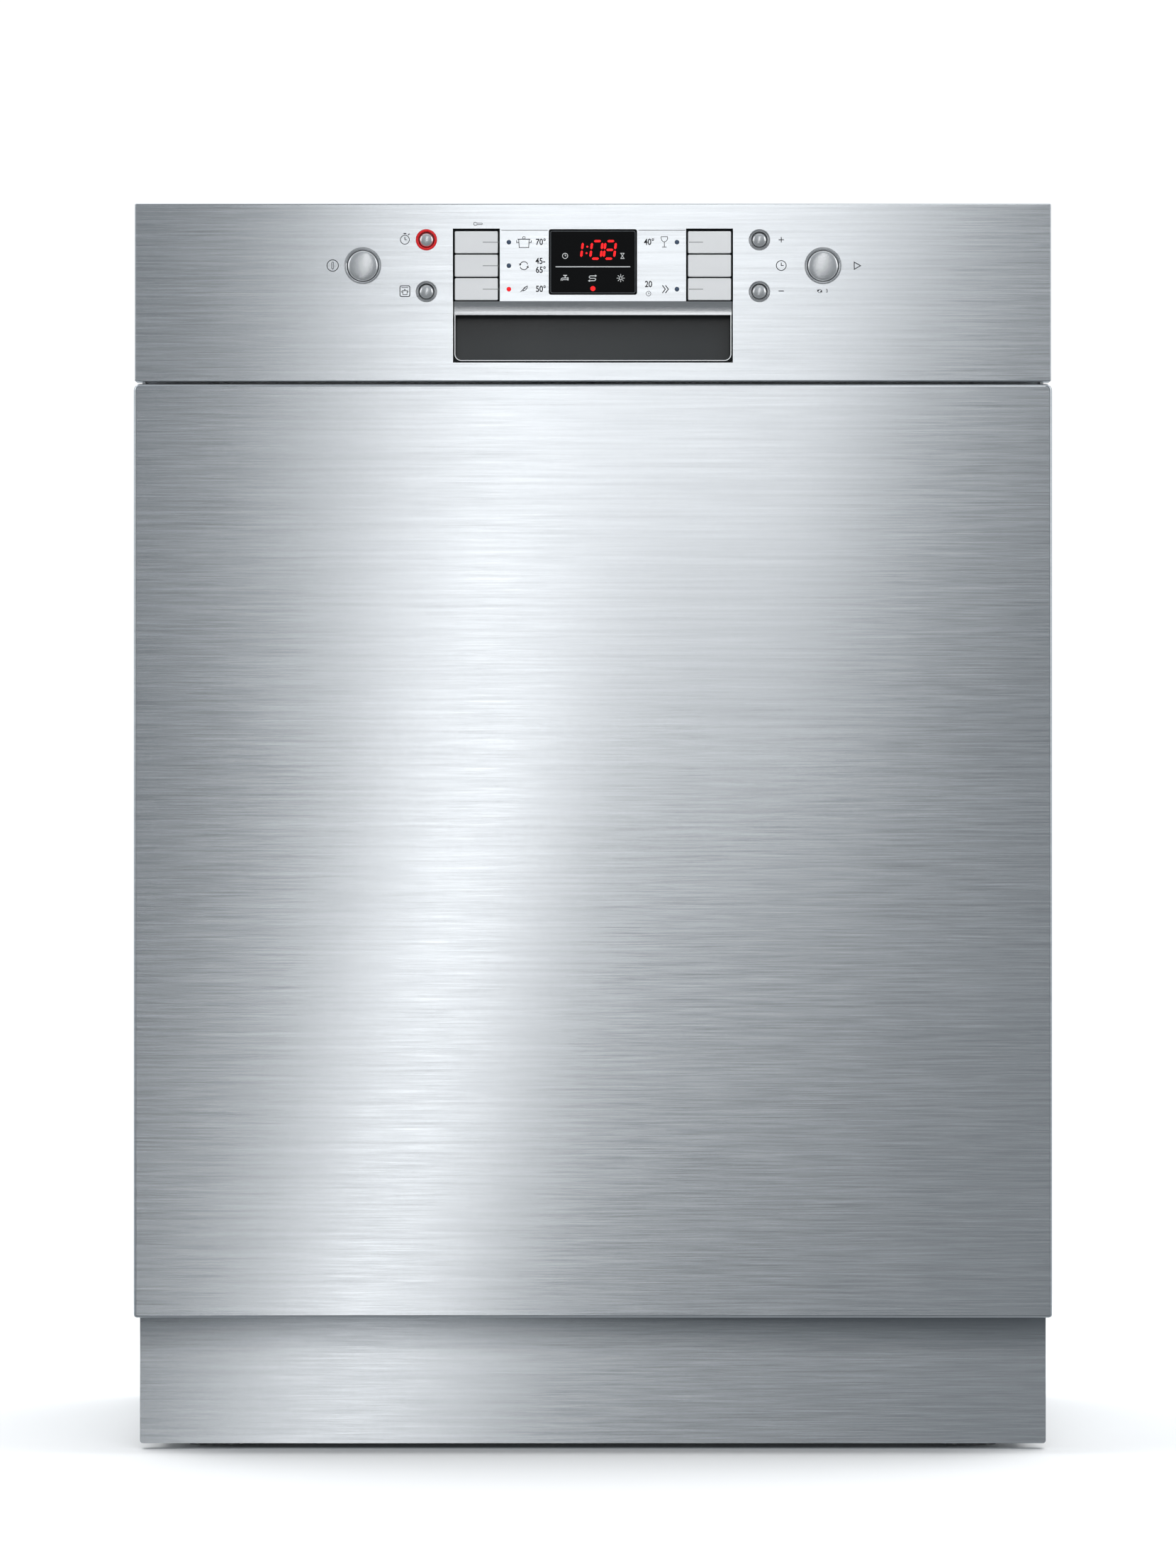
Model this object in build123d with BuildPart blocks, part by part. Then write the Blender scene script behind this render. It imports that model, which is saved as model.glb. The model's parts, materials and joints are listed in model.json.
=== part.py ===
from build123d import *
import math
import os

# Built-in dishwasher, 60 cm class. Millimetres, +Z up, front towards -Y.
# The origin is on the floor, under the middle of the machine's bounding box.

# ---- driving dimensions ----
WIDTH = 598.0
HEIGHT = 815.0
DEPTH = 573.0
FRONT_Y = -DEPTH / 2
BACK_Y = DEPTH / 2

# Door front: plinth zone, steel panel, seam and control fascia, bottom to top.
PLINTH_ZONE = 89.5
PANEL_HEIGHT = 608.0
SEAM = 1.5
FASCIA_HEIGHT = HEIGHT - PLINTH_ZONE - PANEL_HEIGHT - SEAM
FASCIA_WIDTH = 596.6
PANEL_TOP = PLINTH_ZONE + PANEL_HEIGHT
FASCIA_BOTTOM = HEIGHT - FASCIA_HEIGHT
SKIN_BACK_Y = -264.0
LINER_FRONT_Y = -263.5
LINER_FACE_Y = -243.0
LINER_WIDTH = 587.0
LINER_TOP = 811.5
SHEET = 1.0

# Door hinge, an axis along X inside the door's lower edge.
HINGE_Y = -262.0
HINGE_Z = 111.5
PIN_R = 5.0
RUNNING_GAP = 0.05
FREE_GAP = 0.35

# Cabinet.
TUB_FRONT_Y = -236.0
TUB_BACK_Y = 232.0
TUB_HALF = 272.0
TUB_TOP = 790.0
TUB_FLANGE_HALF = 288.0
SIDE_HALF = 296.0
BASE_HALF = 291.5
BASE_FRONT_Y = -216.0
BASE_BACK_Y = 270.0
BASE_BOTTOM = 18.0
BASE_TOP = 100.0
LEDGE_TOP = 130.7
PAN_TOP = 119.5
PAN_BOTTOM = 118.0

# Control fascia features, by height above the floor and distance from the middle.
MID_ROW_Z = 774.4
KEY_PITCH = 15.3
KEY_SIZE = (28.1, 14.4)
KEY_X = 75.9
FRAME_SIZE = (30.4, 47.0)
DISPLAY_SIZE = (57.2, 42.4)
DISPLAY_Z = 776.8
BAND_BOTTOM = 742.4
BAND_TOP = 751.2
BAND_HALF = 90.3
CUP_HALF = 91.0
CUP_BOTTOM = 711.4
LARGE_BUTTON_X = 149.8
SMALL_BUTTON_X = 108.4
SMALL_BUTTON_RISE = 16.85
LARGE_BEZEL_R = 12.0
LARGE_CAP_R = 9.9
SMALL_BEZEL_R = 6.85
SMALL_CAP_R = 4.85
LENS_X = 54.7
LENS_R = 1.4

# Interior.
RACK_HALF = 240.0
LOWER_FLOOR_Z = 176.0
LOWER_RIM_Z = 300.0
UPPER_FLOOR_Z = 455.0
UPPER_RIM_Z = 590.0
WIRE = 4.0
WELD_GAP = 0.05
ARM_RADIUS = 206.0
WHEEL_R = 16.0
WHEEL_Z = 147.0
WHEEL_X = 255.0
WHEEL_FRONT_Y = -110.0
WHEEL_REAR_Y = 150.0
FILTER_PLACE = (41.0, -23.0)
SALT_PLACE = (-165.0, 130.0)
SALT_NECK_R = 26.0
PUMP_PLACE = (10.0, 68.0)
SUMP_R = 84.0
FOOT_PLACES = {"front_left": (-250.0, -185.0), "front_right": (250.0, -185.0), "rear": (0.0, 238.0)}
FOOT_STEM_R = 8.0

os.makedirs("parts", exist_ok=True)


def front_plane(y):
    """A sketch plane that faces the front, with X to the right and Z up."""
    return Plane.XZ.offset(-y)


def block(x, y, z, mode=Mode.ADD):
    """Add or cut the box between three pairs of low and high limits."""
    with Locations((sum(x) / 2, sum(y) / 2, sum(z) / 2)):
        Box(x[1] - x[0], y[1] - y[0], z[1] - z[0], mode=mode)


def mirrored_block(x, y, z, mode=Mode.ADD):
    """The same box on the right and on the left of the middle plane."""
    block(x, y, z, mode)
    block((-x[1], -x[0]), y, z, mode)


def rod_y(radius, x, z, y, mode=Mode.ADD):
    """A round bar or hole along the depth, between two y values."""
    with Locations(Location((x, sum(y) / 2, z), (90, 0, 0))):
        Cylinder(radius, y[1] - y[0], mode=mode)


def rod_x(radius, y, z, x, mode=Mode.ADD):
    """A round bar or hole across the machine, between two x values."""
    with Locations(Location((sum(x) / 2, y, z), (0, 90, 0))):
        Cylinder(radius, x[1] - x[0], mode=mode)


def rod_z(radius, x, y, z, mode=Mode.ADD):
    """An upright round bar or hole, between two heights."""
    with Locations((x, y, sum(z) / 2)):
        Cylinder(radius, z[1] - z[0], mode=mode)


def grid_lines(low, high, count):
    """Evenly spaced positions, the ends included."""
    return [low + (high - low) * i / (count - 1) for i in range(count)]


def save(piece, label):
    """Label one finished piece and write it to its own file."""
    piece.part.label = label
    export_step(piece.part, f"parts/{label}.step")


# ================= DOOR: OUTSIDE =================

KEY_ROWS = {"top": MID_ROW_Z + KEY_PITCH, "middle": MID_ROW_Z, "bottom": MID_ROW_Z - KEY_PITCH}
FRAME_Z = (BAND_TOP + 0.3, BAND_TOP + 0.3 + FRAME_SIZE[1])
LARGE_PLACES = [(-LARGE_BUTTON_X, MID_ROW_Z), (LARGE_BUTTON_X, MID_ROW_Z)]
SMALL_PLACES = [
    (side * SMALL_BUTTON_X, MID_ROW_Z + rise)
    for side in (-1, 1)
    for rise in (SMALL_BUTTON_RISE, -SMALL_BUTTON_RISE)
]
LENS_PLACES = [(-LENS_X, KEY_ROWS["top"]), (-LENS_X, KEY_ROWS["middle"]), (-LENS_X, KEY_ROWS["bottom"])]
LENS_PLACES += [(LENS_X, KEY_ROWS["top"]), (LENS_X, KEY_ROWS["bottom"])]
FASCIA_WALL = 2.0
FASCIA_CORNER_R = 1.2
FASCIA_EDGE_R = 0.9
WINDOW_GAP = 0.1

# Fascia: a shallow steel pan with windows for keys, grip, display, buttons and lenses.
with BuildPart() as fascia_panel:
    with BuildSketch(front_plane(SKIN_BACK_Y)):
        with Locations((0, (HEIGHT + FASCIA_BOTTOM) / 2)):
            RectangleRounded(FASCIA_WIDTH, FASCIA_HEIGHT, FASCIA_CORNER_R)
    extrude(amount=SKIN_BACK_Y - FRONT_Y)
    front_edges = fascia_panel.faces().sort_by(Axis.Y)[0].edges()
    fillet(front_edges, FASCIA_EDGE_R)
    block(
        (-FASCIA_WIDTH / 2 + SHEET, FASCIA_WIDTH / 2 - SHEET),
        (FRONT_Y + FASCIA_WALL, 0),
        (FASCIA_BOTTOM + SHEET, HEIGHT - SHEET),
        Mode.SUBTRACT,
    )
    wall = (FRONT_Y - 1, FRONT_Y + FASCIA_WALL + 1)
    mirrored_block(
        (KEY_X - FRAME_SIZE[0] / 2 - WINDOW_GAP, KEY_X + FRAME_SIZE[0] / 2 + WINDOW_GAP),
        wall,
        (BAND_TOP, FRAME_Z[1] + WINDOW_GAP),
        Mode.SUBTRACT,
    )
    block(
        (-CUP_HALF - WINDOW_GAP, CUP_HALF + WINDOW_GAP),
        wall,
        (CUP_BOTTOM - WINDOW_GAP, BAND_TOP + WINDOW_GAP),
        Mode.SUBTRACT,
    )
    with BuildSketch(front_plane(FRONT_Y + FASCIA_WALL + 1)):
        with Locations((0, DISPLAY_Z)):
            RectangleRounded(DISPLAY_SIZE[0] + 3 * WINDOW_GAP, DISPLAY_SIZE[1] + 3 * WINDOW_GAP, 1.4)
        with Locations(*LARGE_PLACES):
            Circle(LARGE_BEZEL_R + WINDOW_GAP)
        with Locations(*SMALL_PLACES):
            Circle(SMALL_BEZEL_R + WINDOW_GAP)
        with Locations(*LENS_PLACES):
            Circle(LENS_R + WINDOW_GAP)
    extrude(amount=FASCIA_WALL + 2, mode=Mode.SUBTRACT)
save(fascia_panel, "fascia_panel")

# Door front: a folded steel pan; its bottom fold is short so that it clears the hinge cheeks.
BOTTOM_FOLD = 8.0
PANEL_TOP_CORNER_R = 4.4
PANEL_LOW_CORNER_R = 2.2
PANEL_EDGE_R = 1.8
PANEL_SKIN = 1.2
with BuildPart() as outer_panel:
    with BuildSketch(front_plane(SKIN_BACK_Y)) as panel_outline:
        with Locations((0, (PLINTH_ZONE + PANEL_TOP) / 2)):
            Rectangle(WIDTH, PANEL_HEIGHT)
        fillet(panel_outline.vertices().group_by(Axis.Y)[-1], PANEL_TOP_CORNER_R)
        fillet(panel_outline.vertices().group_by(Axis.Y)[0], PANEL_LOW_CORNER_R)
    extrude(amount=SKIN_BACK_Y - FRONT_Y)
    fillet(outer_panel.faces().sort_by(Axis.Y)[0].edges(), PANEL_EDGE_R)
    with BuildSketch(front_plane(SKIN_BACK_Y)) as panel_hollow:
        with Locations((0, (PLINTH_ZONE + PANEL_TOP) / 2)):
            Rectangle(WIDTH - 2 * SHEET, PANEL_HEIGHT - 2 * SHEET)
        fillet(panel_hollow.vertices().group_by(Axis.Y)[-1], PANEL_TOP_CORNER_R - SHEET)
    extrude(amount=SKIN_BACK_Y - FRONT_Y - PANEL_SKIN, mode=Mode.SUBTRACT)
    block(
        (-WIDTH / 2 + SHEET, WIDTH / 2 - SHEET),
        (FRONT_Y + BOTTOM_FOLD, 0),
        (0, PLINTH_ZONE + SHEET + 1),
        Mode.SUBTRACT,
    )
save(outer_panel, "outer_panel")

# Silver band over the grip: a strip with a flat back and a bowed front.
BAND_BACK_Y = FRONT_Y + 3.4
BAND_TOP_EDGE = (FRONT_Y + 0.9, BAND_TOP)
BAND_LOW_EDGE = (FRONT_Y + 0.6, BAND_BOTTOM)
BAND_BELLY = (FRONT_Y + 0.1, (BAND_BOTTOM + BAND_TOP) / 2)
with BuildPart() as grip_strip:
    with BuildSketch(Plane.YZ.offset(-BAND_HALF)):
        with BuildLine():
            Polyline(BAND_TOP_EDGE, (BAND_BACK_Y, BAND_TOP), (BAND_BACK_Y, BAND_BOTTOM), BAND_LOW_EDGE)
            ThreePointArc(BAND_LOW_EDGE, BAND_BELLY, BAND_TOP_EDGE)
        make_face()
    extrude(amount=2 * BAND_HALF)
save(grip_strip, "grip_strip")

# Grip cup: a dark moulded recess; the fingers reach up behind the silver band.
CUP_WALL = 1.6
CUP_BACK_Y = -256.0
CUP_TOP = 750.7
CUP_CORNER_R = 4.9
CUP_HOOK_Y = BAND_BACK_Y + 0.4
with BuildPart() as grip_cup:
    with BuildSketch(front_plane(CUP_BACK_Y)) as cup_outline:
        with Locations((0, (CUP_BOTTOM + BAND_BOTTOM) / 2)):
            Rectangle(2 * CUP_HALF, BAND_BOTTOM - CUP_BOTTOM - 0.3)
        fillet(cup_outline.vertices().group_by(Axis.Y)[0], CUP_CORNER_R)
    extrude(amount=CUP_BACK_Y - FRONT_Y - 0.3)
    block((-CUP_HALF, CUP_HALF), (CUP_HOOK_Y, CUP_BACK_Y), (BAND_BOTTOM - 1, CUP_TOP))
    fillet(grip_cup.edges().filter_by(Axis.X).group_by(Axis.Y)[-1], 3)
    with BuildSketch(front_plane(CUP_BACK_Y - CUP_WALL)) as cup_hollow:
        with Locations((0, (CUP_BOTTOM + BAND_BOTTOM + 3) / 2)):
            Rectangle(2 * (CUP_HALF - CUP_WALL), BAND_BOTTOM - CUP_BOTTOM - 0.2)
        fillet(cup_hollow.vertices().group_by(Axis.Y)[0], CUP_CORNER_R - 0.7)
    extrude(amount=40, mode=Mode.SUBTRACT)
    block(
        (-CUP_HALF + CUP_WALL, CUP_HALF - CUP_WALL),
        (CUP_HOOK_Y + CUP_WALL, CUP_BACK_Y - CUP_WALL),
        (BAND_BOTTOM - 2, CUP_TOP - CUP_WALL),
        Mode.SUBTRACT,
    )
save(grip_cup, "grip_cup")

# Display window: a dark glass plate flush with the fascia.
GLASS_THICKNESS = 3.0
FACE_INSET = 0.2
with BuildPart() as display_window:
    with BuildSketch(front_plane(FRONT_Y + FACE_INSET + GLASS_THICKNESS)):
        with Locations((0, DISPLAY_Z)):
            RectangleRounded(DISPLAY_SIZE[0], DISPLAY_SIZE[1], 1.3)
    extrude(amount=GLASS_THICKNESS)
    fillet(display_window.faces().sort_by(Axis.Y)[0].edges(), 0.4)
save(display_window, "display_window")

# Black trays that the programme keys sit in, left and right.
KEY_BACK_Y = -276.0
with BuildPart() as key_frames:
    mirrored_block(
        (KEY_X - FRAME_SIZE[0] / 2, KEY_X + FRAME_SIZE[0] / 2),
        (FRONT_Y + 0.4, KEY_BACK_Y + 3.0),
        FRAME_Z,
    )
    mirrored_block(
        (KEY_X - KEY_SIZE[0] / 2 - FREE_GAP, KEY_X + KEY_SIZE[0] / 2 + FREE_GAP),
        (FRONT_Y, KEY_BACK_Y + 1.6),
        (KEY_ROWS["bottom"] - KEY_SIZE[1] / 2 - FREE_GAP, KEY_ROWS["top"] + KEY_SIZE[1] / 2 + FREE_GAP),
        Mode.SUBTRACT,
    )
save(key_frames, "key_frames")

# Six programme keys, three on each side of the display.
for side_name, side in (("left", -1), ("right", 1)):
    for row_name, row_z in KEY_ROWS.items():
        with BuildPart() as key:
            with BuildSketch(front_plane(KEY_BACK_Y)):
                with Locations((side * KEY_X, row_z)):
                    RectangleRounded(KEY_SIZE[0], KEY_SIZE[1], 0.8)
            extrude(amount=KEY_BACK_Y - FRONT_Y - FACE_INSET)
            fillet(key.faces().sort_by(Axis.Y)[0].edges(), 0.5)
        save(key, f"key_{side_name}_{row_name}")

# Bezels: dished rings round the large buttons, plain rings round the small ones.
BEZEL_Y = (FRONT_Y + 0.1, FRONT_Y + 9)
BEZEL_BORE_Y = (FRONT_Y, FRONT_Y + 10)
DISH_DEPTH = 1.5
with BuildPart() as button_bezels:
    for x, z in LARGE_PLACES:
        rod_y(LARGE_BEZEL_R, x, z, BEZEL_Y)
        rod_y(LARGE_CAP_R + FREE_GAP, x, z, BEZEL_BORE_Y, Mode.SUBTRACT)
        with Locations(Location((x, BEZEL_Y[0] + DISH_DEPTH / 2, z), (90, 0, 0))):
            Cone(LARGE_CAP_R + FREE_GAP, LARGE_BEZEL_R - 0.2, DISH_DEPTH, mode=Mode.SUBTRACT)
    for x, z in SMALL_PLACES:
        rod_y(SMALL_BEZEL_R, x, z, BEZEL_Y)
        rod_y(SMALL_CAP_R + FREE_GAP, x, z, BEZEL_BORE_Y, Mode.SUBTRACT)
save(button_bezels, "button_bezels")

# Six round buttons: two large flat-fronted ones and four small domed ones.
ROUND_BUTTONS = {
    "button_power": (-LARGE_BUTTON_X, MID_ROW_Z, LARGE_CAP_R),
    "button_start": (LARGE_BUTTON_X, MID_ROW_Z, LARGE_CAP_R),
    "button_speed": (-SMALL_BUTTON_X, MID_ROW_Z + SMALL_BUTTON_RISE, SMALL_CAP_R),
    "button_half_load": (-SMALL_BUTTON_X, MID_ROW_Z - SMALL_BUTTON_RISE, SMALL_CAP_R),
    "button_plus": (SMALL_BUTTON_X, MID_ROW_Z + SMALL_BUTTON_RISE, SMALL_CAP_R),
    "button_minus": (SMALL_BUTTON_X, MID_ROW_Z - SMALL_BUTTON_RISE, SMALL_CAP_R),
}
LARGE_CAP_EDGE_R = 1.0
SMALL_CAP_EDGE_R = 1.8
for name, (x, z, radius) in ROUND_BUTTONS.items():
    with BuildPart() as button:
        rod_y(radius, x, z, (FRONT_Y + FACE_INSET, KEY_BACK_Y))
        edge_r = LARGE_CAP_EDGE_R if radius == LARGE_CAP_R else SMALL_CAP_EDGE_R
        fillet(button.faces().sort_by(Axis.Y)[0].edges(), edge_r)
    save(button, name)

# Indicator lenses: short light pipes behind the fascia.
with BuildPart() as indicator_lenses:
    for x, z in LENS_PLACES:
        rod_y(LENS_R, x, z, (FRONT_Y + 0.1, KEY_BACK_Y))
    fillet(indicator_lenses.faces().group_by(Axis.Y)[0].edges(), 0.35)
save(indicator_lenses, "indicator_lenses")

# ================= DOOR: INSIDE =================

# Control module: a closed plastic housing with the circuit board inside it.
MODULE = ((-172.0, 172.0), (-272.0, -252.0), (752.5, 792.0))
MODULE_WALL = 1.6
BOARD = ((-168.0, 168.0), (-266.6, -265.0), (756.0, 788.5))
RELAYS = ((60.0, 80.0), (-264.8, -256.0), (765.0, 782.0))
with BuildPart() as control_module:
    block(*MODULE)
    fillet(control_module.edges().filter_by(Axis.Y), 3)
    inner = [(low + MODULE_WALL, high - MODULE_WALL) for low, high in MODULE]
    block(*inner, Mode.SUBTRACT)
    block(*BOARD)
    mirrored_block(*RELAYS)
save(control_module, "control_module")

# Inner liner: a stainless pan, notched at its lower corners for the hinge cheeks.
DISPENSER = ((-100.0, 100.0), (400.0, 530.0))
NOTCH_TOP = 150.0
NOTCH_HALF = 267.0
LINER_BOTTOM = 100.0
LINER_CORNER_R = 6.0
LINER_EDGE_R = 2.5
STRIKE_SLOT = ((-12.0, 12.0), (804.3, 810.0))
FACE_CUT_Y = (LINER_FACE_Y - 5, LINER_FACE_Y + 1)
HOLE_RIM = 6.0
with BuildPart() as inner_liner:
    block(
        (-LINER_WIDTH / 2, LINER_WIDTH / 2),
        (LINER_FRONT_Y, LINER_FACE_Y),
        (LINER_BOTTOM, LINER_TOP),
    )
    fillet(inner_liner.edges().filter_by(Axis.Y).group_by(Axis.Z)[-1], LINER_CORNER_R)
    fillet(inner_liner.faces().sort_by(Axis.Y)[-1].edges(), LINER_EDGE_R)
    block(
        (-LINER_WIDTH / 2 + SHEET, LINER_WIDTH / 2 - SHEET),
        (LINER_FRONT_Y - 1, LINER_FACE_Y - SHEET),
        (LINER_BOTTOM - 1, LINER_TOP - SHEET - 0.6),
        Mode.SUBTRACT,
    )
    mirrored_block(
        (NOTCH_HALF, LINER_WIDTH / 2 + 1),
        (LINER_FRONT_Y - 1, LINER_FACE_Y + 1),
        (LINER_BOTTOM - 1, NOTCH_TOP),
        Mode.SUBTRACT,
    )
    block(
        (DISPENSER[0][0] + HOLE_RIM, DISPENSER[0][1] - HOLE_RIM),
        FACE_CUT_Y,
        (DISPENSER[1][0] + HOLE_RIM, DISPENSER[1][1] - HOLE_RIM),
        Mode.SUBTRACT,
    )
    block(STRIKE_SLOT[0], FACE_CUT_Y, STRIKE_SLOT[1], Mode.SUBTRACT)
save(inner_liner, "inner_liner")

# Detergent and rinse-aid dispenser: flange, housing and the powder chamber.
CHAMBER = ((9.0, 73.0), (419.0, 495.0))
CAP_PLACE = (-80.0, 500.0)
CAP_R = 14.0
FLANGE_Y = (LINER_FACE_Y + 0.1, LINER_FACE_Y + 2.0)
FLANGE_CORNER_R = 8.0
FLANGE_LAP = 8.0
HOUSING_FRONT_Y = -272.0
CHAMBER_FLOOR_Y = HOUSING_FRONT_Y + 2
FILLER_FLOOR_Y = HOUSING_FRONT_Y + 10
with BuildPart() as dispenser_body:
    block(DISPENSER[0], FLANGE_Y, DISPENSER[1])
    fillet(dispenser_body.edges().filter_by(Axis.Y), FLANGE_CORNER_R)
    block(
        (DISPENSER[0][0] + FLANGE_LAP, DISPENSER[0][1] - FLANGE_LAP),
        (HOUSING_FRONT_Y, FLANGE_Y[0]),
        (DISPENSER[1][0] + FLANGE_LAP, DISPENSER[1][1] - FLANGE_LAP),
    )
    block(CHAMBER[0], (CHAMBER_FLOOR_Y, 0), CHAMBER[1], Mode.SUBTRACT)
    rod_y(CAP_R - 2, CAP_PLACE[0], CAP_PLACE[1], (FILLER_FLOOR_Y, 0), Mode.SUBTRACT)
save(dispenser_body, "dispenser_body")

# Sliding lid over the powder chamber, with a raised finger rib.
LID_Y = (FLANGE_Y[1] + 0.3, FLANGE_Y[1] + 2.8)
LID_LAP = (5.0, 4.0)
LID_CORNER_R = 6.0
LID_RIB = ((60.0, 66.0), (LID_Y[1], LID_Y[1] + 2.4), (436.0, 478.0))
with BuildPart() as detergent_lid:
    block(
        (CHAMBER[0][0] - LID_LAP[0], CHAMBER[0][1] + LID_LAP[0]),
        LID_Y,
        (CHAMBER[1][0] - LID_LAP[1], CHAMBER[1][1] + LID_LAP[1]),
    )
    fillet(detergent_lid.edges().filter_by(Axis.Y), LID_CORNER_R)
    block(*LID_RIB)
save(detergent_lid, "detergent_lid")

# Rinse-aid cap: a round twist cap with a grip rib and a plug in the filler hole.
CAP_RIB = (9.0, 3.0, 2.0)
PLUG_DEPTH = 8.0
with BuildPart() as rinse_aid_cap:
    rod_y(CAP_R, CAP_PLACE[0], CAP_PLACE[1], LID_Y)
    block(
        (CAP_PLACE[0] - CAP_RIB[0], CAP_PLACE[0] + CAP_RIB[0]),
        (LID_Y[1], LID_Y[1] + CAP_RIB[1]),
        (CAP_PLACE[1] - CAP_RIB[2], CAP_PLACE[1] + CAP_RIB[2]),
    )
    rod_y(CAP_R - 2.4, CAP_PLACE[0], CAP_PLACE[1], (FLANGE_Y[0] - PLUG_DEPTH, LID_Y[0]))
save(rinse_aid_cap, "rinse_aid_cap")

# Latch lever: a sprung catch on a cross pin, just below the strike.
LATCH_Z = 797.5
LATCH_Y = -250.0
LATCH_PIN = (2.5, 20.0)
with BuildPart() as door_latch:
    rod_x(LATCH_PIN[0], LATCH_Y, LATCH_Z, (-LATCH_PIN[1], LATCH_PIN[1]))
    block((-9, 9), (LATCH_Y - 10, LATCH_Y + 3), (LATCH_Z - 1.5, LATCH_Z + 4.0))
    fillet(door_latch.edges().filter_by(Axis.X).group_by(Axis.Z)[-1], 1.2)
save(door_latch, "door_latch")

# Hinge arms: steel side plates in the door, each with the pin that turns in the base.
CHEEK_X = (273.6, 290.0)
ARM_X = (268.5, 272.5)
ARM_HALF = 9.0
ARM_TOP = 380.0
with BuildPart() as hinge_arms:
    for side in (-1, 1):
        x_pair = sorted((side * ARM_X[0], side * ARM_X[1]))
        pin_pair = sorted((side * ARM_X[1], side * CHEEK_X[1]))
        rod_x(ARM_HALF, HINGE_Y, HINGE_Z, x_pair)
        rod_x(PIN_R, HINGE_Y, HINGE_Z, pin_pair)
        block(x_pair, (HINGE_Y - ARM_HALF, HINGE_Y + ARM_HALF), (HINGE_Z, ARM_TOP))
save(hinge_arms, "hinge_arms")

# ================= CABINET =================

# Base tray: moulded tray with foot bosses, rear wall and the two hinge cheeks.
BASE_WALL = 3.0
BASE_CORNER_R = 6.0
BOSS_R = 14.0
BOSS_TOP = 70.0
EYE_R = 14.0
CHEEK_REACH_Y = BASE_FRONT_Y + 16
CHEEK_POST = ((BASE_FRONT_Y + 9.5, 80.0), (13.0, 40.0))
with BuildPart() as base_tray:
    block((-BASE_HALF, BASE_HALF), (BASE_FRONT_Y, BASE_BACK_Y), (BASE_BOTTOM, BASE_TOP))
    fillet(base_tray.edges().filter_by(Axis.Z), BASE_CORNER_R)
    block(
        (-BASE_HALF + BASE_WALL, BASE_HALF - BASE_WALL),
        (BASE_FRONT_Y + BASE_WALL, BASE_BACK_Y - BASE_WALL),
        (BASE_BOTTOM + BASE_WALL, BASE_TOP + 1),
        Mode.SUBTRACT,
    )
    for x, y in FOOT_PLACES.values():
        rod_z(BOSS_R, x, y, (BASE_BOTTOM, BOSS_TOP))
    for side in (-1, 1):
        cheek = sorted((side * CHEEK_X[0], side * (CHEEK_X[1] + 1)))
        with BuildSketch(Plane.YZ.offset(cheek[0])) as cheek_outline:
            with Locations((HINGE_Y, HINGE_Z)):
                Circle(EYE_R)
            with Locations(((HINGE_Y + CHEEK_REACH_Y) / 2, HINGE_Z)):
                Rectangle(CHEEK_REACH_Y - HINGE_Y, 2 * EYE_R)
            with Locations(CHEEK_POST[0]):
                Rectangle(*CHEEK_POST[1])
            with Locations((HINGE_Y, HINGE_Z)):
                Circle(PIN_R + RUNNING_GAP, mode=Mode.SUBTRACT)
        extrude(cheek_outline.sketch, amount=cheek[1] - cheek[0])
    for x, y in FOOT_PLACES.values():
        rod_z(FOOT_STEM_R + RUNNING_GAP, x, y, (0, BOSS_TOP + 20), Mode.SUBTRACT)
save(base_tray, "base_tray")

# Side panels: flat steel sheets with folded front and rear edges, stepped round the plinth.
SIDE_STEP_Z = 92.0
SIDE_BOTTOM_Z = 34.0
SIDE_TOP_Z = 812.0
SIDE_FRONT_Y = TUB_FRONT_Y + 2
FOLD_WIDTH = 7.0
for name, side in (("side_panel_left", -1), ("side_panel_right", 1)):
    with BuildPart() as side_panel:
        sheet = sorted((side * (SIDE_HALF - SHEET), side * SIDE_HALF))
        fold = sorted((side * (SIDE_HALF - FOLD_WIDTH), side * SIDE_HALF))
        block(sheet, (SIDE_FRONT_Y, BASE_BACK_Y), (SIDE_STEP_Z, SIDE_TOP_Z))
        block(sheet, (BASE_FRONT_Y - 2, BASE_BACK_Y), (SIDE_BOTTOM_Z, SIDE_STEP_Z))
        block(fold, (BASE_BACK_Y, BASE_BACK_Y + SHEET), (SIDE_BOTTOM_Z, SIDE_TOP_Z))
        block(fold, (SIDE_FRONT_Y, SIDE_FRONT_Y + SHEET), (BASE_TOP + 40, SIDE_TOP_Z))
    save(side_panel, name)

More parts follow.
